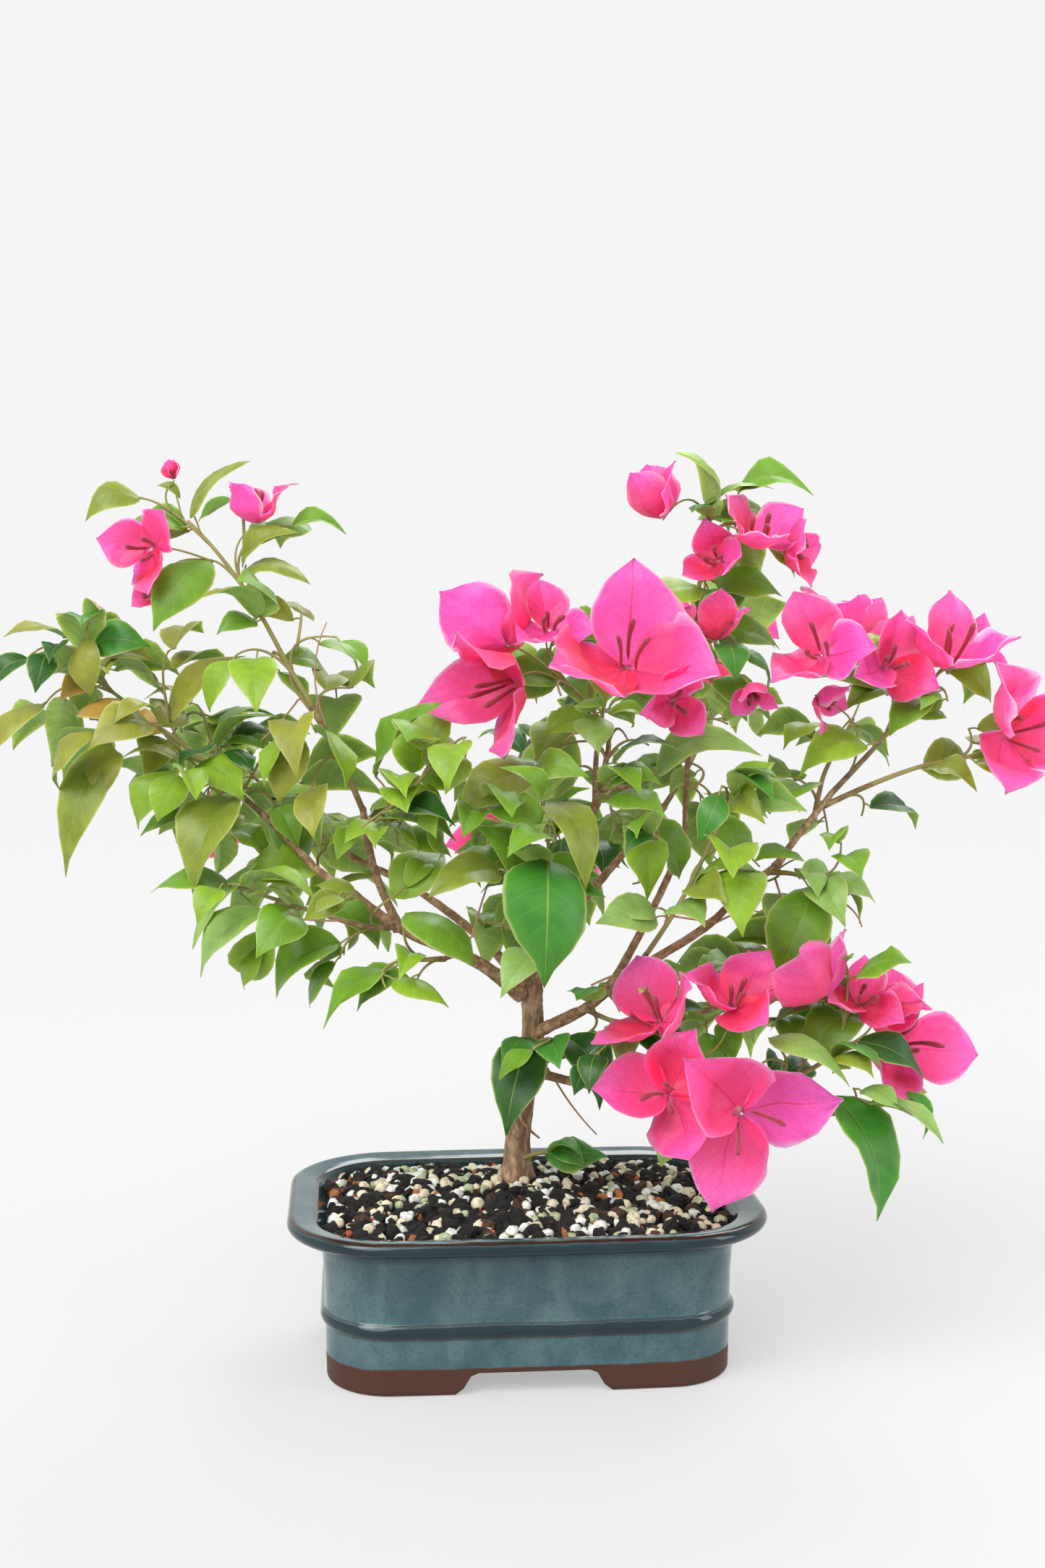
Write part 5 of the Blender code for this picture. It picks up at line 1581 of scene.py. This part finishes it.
# Limits of what differs from leaf to leaf, as shares of its length or of its half width, or in radians
LEAF_POWERS = ((0.55, 0.75), (0.75, 1.0))
LEAF_DRIP = 0.85
LEAF_FOLD = (-0.3, 0.45)
LEAF_ARCH = (0.45, 1.1)
TIP_DROOP = (0.0, 0.18)
EDGE_WAVES = (0.9, 1.7)
EDGE_WAVE = (0.01, 0.06)
HALF_BULGE = 0.14
LEAF_SWAY = (-0.1, 0.1)
LEAF_TURN = (-0.35, 0.35)
LEAF_TWIST = (-0.4, 0.4)


def leaf_blades(foot, tip, face, width):
    """Rings of each leaf. Height: fold * |across| + wave at the edge + a bulge of either half.

    The middle line arches, and the drawn-out tip bends back down.
    """
    between = drawer(LEAF_SEED, len(foot))
    ways, length = sheet_ways(foot, tip, face)
    v = LEAF_ALONG[None, :, None]
    u = LEAF_ACROSS[None, None, :]
    powers = [between(*limits) for limits in LEAF_POWERS]
    half = FULLER_LEAF * width[:, None, None] * outline(v, *powers, LEAF_DRIP)
    fold = between(*LEAF_FOLD)
    arch = length * (between(*LEAF_ARCH) * v * (1 - v) - between(*TIP_DROOP) * v ** 3)
    phase = between(*EDGE_WAVES) * v + between(0, 1) + 0.25 * u
    wave = between(*EDGE_WAVE) * length * np.sin(2 * np.pi * phase)
    height = half * np.sin(fold) * np.abs(u) + wave * u ** 2 * np.sin(np.pi * v) ** 0.5
    height = height + half * HALF_BULGE * (1 - (2 * np.abs(u) - 1) ** 2)
    height = height - UNDERSIDE * (LEAF_THICK + 0.02 * half)
    across = half * np.cos(fold) * u + between(*LEAF_SWAY) * length * v ** 2
    twist = between(*LEAF_TURN) + between(*LEAF_TWIST) * v
    return sheet_points(foot, ways, v, across, height, arch, twist)


width = np.array([leaf[4] for leaf in leaf_rows])
spray = np.array([leaf[5] for leaf in leaf_rows])
print("leaves", len(leaf_rows), "on sprays", len(np.unique(spray)))

# %% [markdown]
# ## Flower heads
#
# What looks like a flower is three papery bracts round three slim tubes. A bract bulges outwards like a
# bowl, its tip turns out again, and its edge ripples. Each is a closed grid whose first columns are the
# inside, and the rest the outside behind it, as thin as paper.

# %% Bract sheets
BRACT_ALONG = np.array([0.0, 0.04, 0.1, 0.18, 0.28, 0.39, 0.5, 0.61, 0.72, 0.82, 0.9, 0.96, 1.0])
BRACT_INSIDE = np.array([1, 0.8, 0.55, 0.28, 0.02, -0.02, -0.28, -0.55, -0.8, -1])
BRACT_ACROSS = np.concatenate([BRACT_INSIDE, -BRACT_INSIDE[1:-1]])
BRACT_MIDRIB = 4
OUTSIDE = np.where(np.arange(len(BRACT_ACROSS)) < len(BRACT_INSIDE), 0, 1)
PAPER = 0.22 * MM
BRACT_SEED = 9

# Limits of what differs from bract to bract, as shares of its length or of its half width, or in radians
BRACT_POWERS = ((0.55, 0.75), (0.55, 0.95))
BRACT_DRIP = 0.8
BOWL_DEPTH = (0.04, 0.14)
BOWL_TURN = (0.02, 0.1)
TIP_CURL = (-0.08, 0.12)
OPEN_CURL = 0.2
OPEN_SLIMMER = 0.25
CUP = (0.1, 0.5)
BRACT_FOLD = (0.0, 0.4)
RIPPLES = (1.2, 2.4)
RIPPLE = (0.03, 0.08)
FINE_RIPPLE = 0.014
CRUMPLE = 0.022
BRACT_SWAY = (-0.08, 0.08)
BRACT_TURN = 0.2
BRACT_TWIST = (-0.45, 0.35)


def bract_sheets(foot, tip, face, width, opening):
    """Rings of each bract. Height towards the flowers: cup * across^2 - bowl + ripple at the edge.

    The bowl bulges outwards low down, and the drawn-out tip turns out again: b sin(pi v) + s sin(2 pi v).
    In a half-open head the bracts are narrower and their tips turn out more.
    """
    between = drawer(BRACT_SEED, len(foot))
    ways, length = sheet_ways(foot, tip, face)
    v = BRACT_ALONG[None, :, None]
    u = BRACT_ACROSS[None, None, :]
    lean = np.arccos((unit(tip - foot) * unit(opening)).sum(-1))[:, None, None]
    half_open = smooth_between(0.45, 0.55, lean) * (1 - smooth_between(0.66, 0.78, lean))
    powers = [between(*limits) for limits in BRACT_POWERS]
    half = FULLER_BRACT * width[:, None, None] * outline(v, *powers, BRACT_DRIP)
    bowl = length * (between(*BOWL_DEPTH) * np.sin(np.pi * v) + between(*BOWL_TURN) * np.sin(2 * np.pi * v))
    bowl = bowl + length * (between(*TIP_CURL) * v ** 4 + OPEN_CURL * half_open * v ** 3)
    half = half * (1 - OPEN_SLIMMER * half_open)
    cup = between(*CUP) * half * u ** 2 * (1.25 - 1.1 * v) + between(*BRACT_FOLD) * half * np.abs(u)
    edge = np.abs(u) ** 1.4 * np.sin(np.pi * v) ** 0.5
    phase = between(*RIPPLES) * v + between(0, 1) + 0.35 * u
    ripple = between(*RIPPLE) * np.sin(2 * np.pi * phase) + FINE_RIPPLE * np.sin(5.3 * np.pi * phase)
    crumple = np.sin(2 * np.pi * (1.8 * v + 0.9 * u + between(0, 1)))
    crumple = crumple * np.sin(2 * np.pi * (1.1 * v - 0.6 * u + between(0, 1)))
    height = cup + ripple * length * edge + CRUMPLE * length * crumple - OUTSIDE * PAPER
    across = half * u * (1 - 0.14 * u ** 2) + between(*BRACT_SWAY) * length * v ** 2
    twist = BRACT_TURN + between(*BRACT_TWIST) * v
    return sheet_points(foot, ways, v, across, height, -bowl, twist)


# %% Bract places, with the heads at the back of the crown younger and smaller
BACK_HEADS = 60 * MM
YOUNGER_HEAD = 0.7

sheets = [sheet for m in masses for _, group in m.blooms for sheet in group]
bract_foot, bract_tip, bract_face = (column(sheets, k) for k in range(3))
heart, opening = column(sheets, 4), column(sheets, 5)
younger = np.where(bract_foot[:, 1] > BACK_HEADS, YOUNGER_HEAD, 1)
bract_tip = bract_foot + (bract_tip - bract_foot) * younger[:, None]
bract_width = np.array([sheet[3] for sheet in sheets]) * younger
bract_points = bract_sheets(bract_foot, bract_tip, bract_face, bract_width, opening)
print("bracts", len(bract_points))

# %% [markdown]
# The rule kept the plain leaves clear of the plain bracts, but the drawn ones are fuller and curled. So
# each drawn leaf is tested against the drawn bracts, and one that would cut through a bract is made
# smaller, four times at most. Leaves that would hide the great leaf in the middle, or the flower head
# beside the trunk, stay small too.

# %% Leaves clear of the bracts
IN_FULL_VIEW = (((4, -66, 195), 24), ((50, -60, 148), 26))
HELD_BACK = 0.2
HIDING_WIDTH = 20 * MM
SMALLER = (0.8, 0.62, 0.48, 0.36)
bract_quads = tube_faces(*bract_points.shape[:3])[0].tolist()
bract_tree = BVHTree.FromPolygons(bract_points.reshape(-1, 3).tolist(), bract_quads)
blade_quads = tube_faces(1, len(LEAF_ALONG), len(LEAF_ACROSS))[0].tolist()


def leaves_at(size):
    """The rings of all leaves, each at this share of its full size."""
    return leaf_blades(foot, foot + (tip - foot) * size[:, None], face, width * size)


def cuts_a_bract(points):
    """Whether the drawn blade crosses a drawn bract."""
    return bool(bract_tree.overlap(BVHTree.FromPolygons(points.reshape(-1, 3).tolist(), blade_quads)))


leaf_size = np.ones(len(foot))
for place, radius in IN_FULL_VIEW:
    past = tip - places(place)
    hides = (np.hypot(past[:, 0], past[:, 2]) < radius * MM) & (past[:, 1] < 0) & (width < HIDING_WIDTH)
    leaf_size[hides] = HELD_BACK
leaf_points = leaves_at(leaf_size)
for smaller in SMALLER:
    crossing = np.array([cuts_a_bract(points) for points in leaf_points])
    leaf_size[crossing] = np.minimum(leaf_size[crossing], smaller)
    leaf_points = leaves_at(leaf_size)
    print("leaves that cut a bract:", crossing.sum())

# %% [markdown]
# A leaf is a waxy green sheet that lets a little light through. Pale side veins slant from the midrib
# to the tip, and a thin pale line runs round the edge. The midrib and the paler underside are faces with
# finishes of their own. Each spray gets one of a few greens, warmer and yellower on the left and at the
# top of the crown, and the newest sprays are yellow green with a few ochre leaves.


# %% Leaf finishes
LEAF_MARGIN = srgb(176, 190, 104)
LEAF_VEINS = 7
LEAF_VEIN_SLANT = 0.22
LEAF_GLOW = (0.8, 1.0, 0.25)


def leaf_finish(name, colour, roughness=0.42, veins=0.16):
    """A green sheet with paler side veins, this strong, and a paler edge."""
    leaf = Finish(name, colour, roughness, Specular_IOR_Level=0.35, Subsurface_Weight=0.3,
                  Subsurface_Scale=1.5 * MM, Subsurface_Radius=LEAF_GLOW)
    stripes = leaf.side_veins(LEAF_VEINS, LEAF_VEIN_SLANT)
    patches = leaf.between(leaf.noise(9 * MM, 2), 0.35, 0.7)
    body = leaf.mix(patches, colour, darker(colour, 0.8))
    paler = tuple(min(1.0, 1.5 * c + 0.01) for c in colour)
    body = leaf.mix(leaf.between(stripes, 0.75, 1.0), body, paler, veins)
    margin = leaf.between(leaf.maths("ABSOLUTE", leaf.across_and_along()[0]), 0.9, 1.0)
    leaf.colour(leaf.mix(margin, body, LEAF_MARGIN, 0.6))
    puckers = leaf.maths("ADD", leaf.maths("MULTIPLY", stripes, -0.25), leaf.noise(2.5 * MM, 2))
    leaf.bump(puckers, 0.2 * MM, 0.3)
    return leaf.made


# %% Leaves: each green with its share of the warm sprays and of the others
LEAF_GREENS = {
    "bright leaf": (srgb(126, 160, 38), 0.22, 0.14),
    "leaf": (srgb(100, 142, 34), 0.28, 0.26),
    "olive leaf": (srgb(122, 136, 44), 0.28, 0.08),
    "dark leaf": (srgb(38, 84, 26), 0.08, 0.19),
    "deep leaf": (srgb(60, 126, 38), 0.05, 0.23),
    "grey green leaf": (srgb(128, 162, 80), 0.06, 0.10),
    "young leaf": (srgb(136, 138, 46), 0.03, 0.0),
    "ochre leaf": (srgb(156, 122, 46), 0.0, 0.0),
}
YOUNG_LEAF = list(LEAF_GREENS).index("young leaf")
OCHRE_LEAF = list(LEAF_GREENS).index("ochre leaf")
MIDRIB = len(LEAF_GREENS)
UNDER = MIDRIB + 1
BY_SPRAY = -1
WARM_PARTS = ("left", "top")
NEWEST_MASS = "foliage_left_arm"
NEWEST = (-140 * MM, 228 * MM)
YOUNG_SHARE = 0.75
OCHRE_EVERY = 6
GREEN_SEED = 5

leaf_finishes = [leaf_finish(name, row[0]) for name, row in LEAF_GREENS.items()]
leaf_finishes.append(leaf_finish("leaf midrib", srgb(122, 152, 60), 0.45, 0.0))
leaf_finishes.append(leaf_finish("leaf underside", srgb(144, 172, 90), 0.6, 0.3))
chances = np.array([row[1:] for row in LEAF_GREENS.values()]).cumsum(0).T
mass_number = spray // SPRAYS
warm = np.array([any(part in m.name for part in WARM_PARTS) for m in masses])[mass_number]
draw = np.random.default_rng(GREEN_SEED).random(SPRAYS * len(masses) + SPRAYS)[spray]
green = (draw[:, None] > chances[np.where(warm, 0, 1)]).sum(1).clip(0, YOUNG_LEAF)
newest = (mass_number == list(MASSES).index(NEWEST_MASS)) & (foot[:, 0] < NEWEST[0]) & (tip[:, 2] > NEWEST[1])
green[newest & (draw < YOUNG_SHARE)] = YOUNG_LEAF
green[newest & (np.arange(len(green)) % OCHRE_EVERY == 0)] = OCHRE_LEAF
places_round = np.array([BY_SPRAY, BY_SPRAY, MIDRIB, BY_SPRAY, BY_SPRAY, UNDER, UNDER, UNDER, UNDER])
kinds = np.where(places_round == BY_SPRAY, green[:, None, None], places_round)
sheet_piece("leaves", leaf_points, LEAF_ALONG, LEAF_ACROSS, LEAF_ABOVE, kinds, MIDRIB, leaf_finishes,
            nodes=tuple(MASSES))

# %% [markdown]
# A bract is as thin as tissue paper, and light from behind makes it glow. Strong subsurface scattering gives
# that. A net of fine veins is darker than the paper, and towards the tip a paler, cooler pink is painted
# light, as if the tip caught more of it.

# %% Bract finishes
# A paler, cooler pink towards each bract's tip, painted light as if the tip caught more of it
TIP_PAINTED_LIGHT = srgb(255, 80, 172)
BRACT_VEINS = 6
BRACT_VEIN_SLANT = 0.35
BRACT_GLOW = (1.0, 0.4, 0.6)


def bract_finish(name, colour, dark):
    """Papery pink that glows where light shines through, with a net of fine darker veins and painted light
    that pales it towards the tip.
    """
    bract = Finish(name, colour, 0.55, Subsurface_Weight=0.8, Subsurface_Scale=2.5 * MM,
                   Subsurface_Radius=BRACT_GLOW, Sheen_Weight=0.1)
    stripes = bract.side_veins(BRACT_VEINS, BRACT_VEIN_SLANT)
    patches = bract.between(bract.noise(14 * MM, 2), 0.3, 0.75)
    body = bract.mix(patches, colour, darker(colour, 0.85))
    # Painted light: the pink grows paler and cooler from the middle of the bract to its tip
    body = bract.mix(bract.between(bract.across_and_along()[1], 0.3, 1.0), body, TIP_PAINTED_LIGHT, 0.7)
    net = bract.between(bract.cells(3.2 * MM, feature="DISTANCE_TO_EDGE"), 0.10, 0.0)
    veins = bract.maths("MAXIMUM", bract.between(stripes, 0.9, 1.0), bract.maths("MULTIPLY", net, 0.8))
    bract.colour(bract.mix(veins, body, dark, 0.35))
    crepe = bract.maths("ADD", bract.maths("MULTIPLY", stripes, 0.2), bract.noise(1.8 * MM, 3))
    bract.bump(crepe, 0.3 * MM, 0.5)
    return bract.made


# %% Bracts: each pink with its share of the bracts, and the midrib's own
PINK_SHARES = (0.5, 0.32, 0.18)
PINK_SEED = 4
bract_finishes = [bract_finish("pink bract", srgb(255, 46, 108), srgb(204, 18, 70)),
                  bract_finish("red pink bract", srgb(246, 32, 72), srgb(180, 12, 44)),
                  bract_finish("magenta bract", srgb(255, 62, 152), srgb(214, 30, 110)),
                  bract_finish("bract midrib", srgb(218, 26, 86), srgb(180, 12, 60))]
pink = np.random.default_rng(PINK_SEED).choice(len(PINK_SHARES), len(bract_points), p=PINK_SHARES)
on_midrib = np.arange(len(BRACT_ACROSS)) == BRACT_MIDRIB
kinds = np.where(on_midrib, len(PINK_SHARES), pink[:, None, None])
sheet_piece("bracts", bract_points, BRACT_ALONG, BRACT_ACROSS, len(BRACT_INSIDE), kinds, len(PINK_SHARES),
            bract_finishes)

# %% [markdown]
# The true flowers are three slim maroon tubes, one on the face of each bract. A tube leaves the head's heart
# between its bract and the way the head opens, bends a little, swells near its end and closes there.

# %% Flower tubes
TUBE_ROWS = 9
TUBE_SIDES = 7
TUBE_REACH = (0.38, 0.6)
TUBE_THICKNESS = (0.85, 1.1)
TUBE_PLACES = (0, 0.12, 0.4, 0.75, 0.93, 1.0)
TUBE_RADII = (0.45, 0.8, 0.85, 1.25, 1.3, 0.7)
TUBE_SEED = 11

dice = np.random.default_rng(TUBE_SEED)
bract_length = np.linalg.norm(bract_tip - bract_foot, axis=-1, keepdims=True)
lean = unit(bract_tip - bract_foot)
base = heart + lean * 0.10 * bract_length
ahead = unit(opening + 0.35 * lean + dice.normal(0, 0.12, lean.shape))
tube_end = base + ahead * bract_length * dice.uniform(*TUBE_REACH, bract_length.shape)
bend = (base + tube_end) / 2 + dice.normal(0, 0.03, base.shape) * bract_length
tube_lines = through_three(np.stack([base, bend, tube_end], 1), TUBE_ROWS)
tube_radii = np.interp(np.linspace(0, 1, TUBE_ROWS), TUBE_PLACES, TUBE_RADII) * MM
thickness = dice.uniform(*TUBE_THICKNESS, (len(base), 1, 1))
maroon = mottled("flower tube", srgb(150, 26, 62), 0.6, 2 * MM, 2, srgb(166, 30, 66), srgb(112, 14, 40),
                 Sheen_Weight=0.3)
tube_rows = tubes(tube_lines, tube_radii[None, :, None] * thickness, TUBE_SIDES)
piece("flower_tubes", joined([(tube_rows, 0)]), [maroon])

# %% [markdown]
# ## Floor and light
#
# The tree stands on a wide pale floor in a white studio. The sky is one even pale grey, and two suns as
# wide as windows, one in front on the left and one behind, are set so that the far floor comes out as
# bright as the sky. The floor glows a little, as one lit from all round does, so shadows stay pale.
# Two soft lamps make the bright places on the glaze.

# %% Floor
FLOOR_SPAN = 60.0
floor_mesh = bpy.data.meshes.new("floor")
corners = [(x * FLOOR_SPAN, y * FLOOR_SPAN, 0) for x, y in ((-1, -1), (1, -1), (1, 1), (-1, 1))]
floor_mesh.from_pydata(corners, [], [(0, 1, 2, 3)])
floor = bpy.data.objects.new("floor", floor_mesh)
bpy.context.scene.collection.objects.link(floor)

# %% Light
SKY = 0.913
FLOOR_GLOW = 0.42
SUNS = (("front sun", 2.3, (-0.5, -0.7, 0.8), 50), ("back sun", 1.2, (0.35, 0.8, 0.9), 30))


def sun(name, strength, place, wide):
    """A distant light from this direction, as wide as this angle. It returns what a level floor gets."""
    lamp = bpy.data.lights.new(name, "SUN")
    lamp.energy = strength
    lamp.angle = math.radians(wide)
    made = bpy.data.objects.new(name, lamp)
    bpy.context.scene.collection.objects.link(made)
    made.rotation_euler = Vector(place).to_track_quat("Z", "Y").to_euler()
    return strength * Vector(place).normalized().z / math.pi


def soft_light(name, place, aim, size, power, colour):
    """A square lamp that faces a point of the tree."""
    lamp = bpy.data.lights.new(name, "AREA")
    lamp.shape = "RECTANGLE"
    lamp.size, lamp.size_y = size
    lamp.energy = power
    lamp.color = colour
    made = bpy.data.objects.new(name, lamp)
    bpy.context.scene.collection.objects.link(made)
    made.location = place
    made.rotation_euler = (Vector(aim) - Vector(place)).to_track_quat("-Z", "Y").to_euler()


world = bpy.data.worlds.new("studio")
bpy.context.scene.world = world
world.use_nodes = True
world.node_tree.nodes["Background"].inputs[0].default_value = (SKY, SKY, SKY, 1)
world.node_tree.nodes["Background"].inputs[1].default_value = 1.0
from_suns = sum(sun(*row) for row in SUNS)
floor_shade = (SKY - FLOOR_GLOW) / (SKY + from_suns)
pale_floor = Finish("pale floor", (floor_shade,) * 3, 1.0, Specular_IOR_Level=0.0,
                    Emission_Color=(1, 1, 1, 1), Emission_Strength=FLOOR_GLOW)
floor_mesh.materials.append(pale_floor.made)
print("floor shade", round(floor_shade, 3))
soft_light("left window", (-0.9, -0.8, 1.1), (0, 0, 0.15), (0.5, 0.7), 5, (1.0, 0.98, 0.95))
soft_light("right window", (1.3, -0.6, 0.6), (0, 0, 0.12), (0.5, 0.9), 6, (0.94, 0.97, 1.0))
bpy.context.scene.view_settings.view_transform = "Standard"
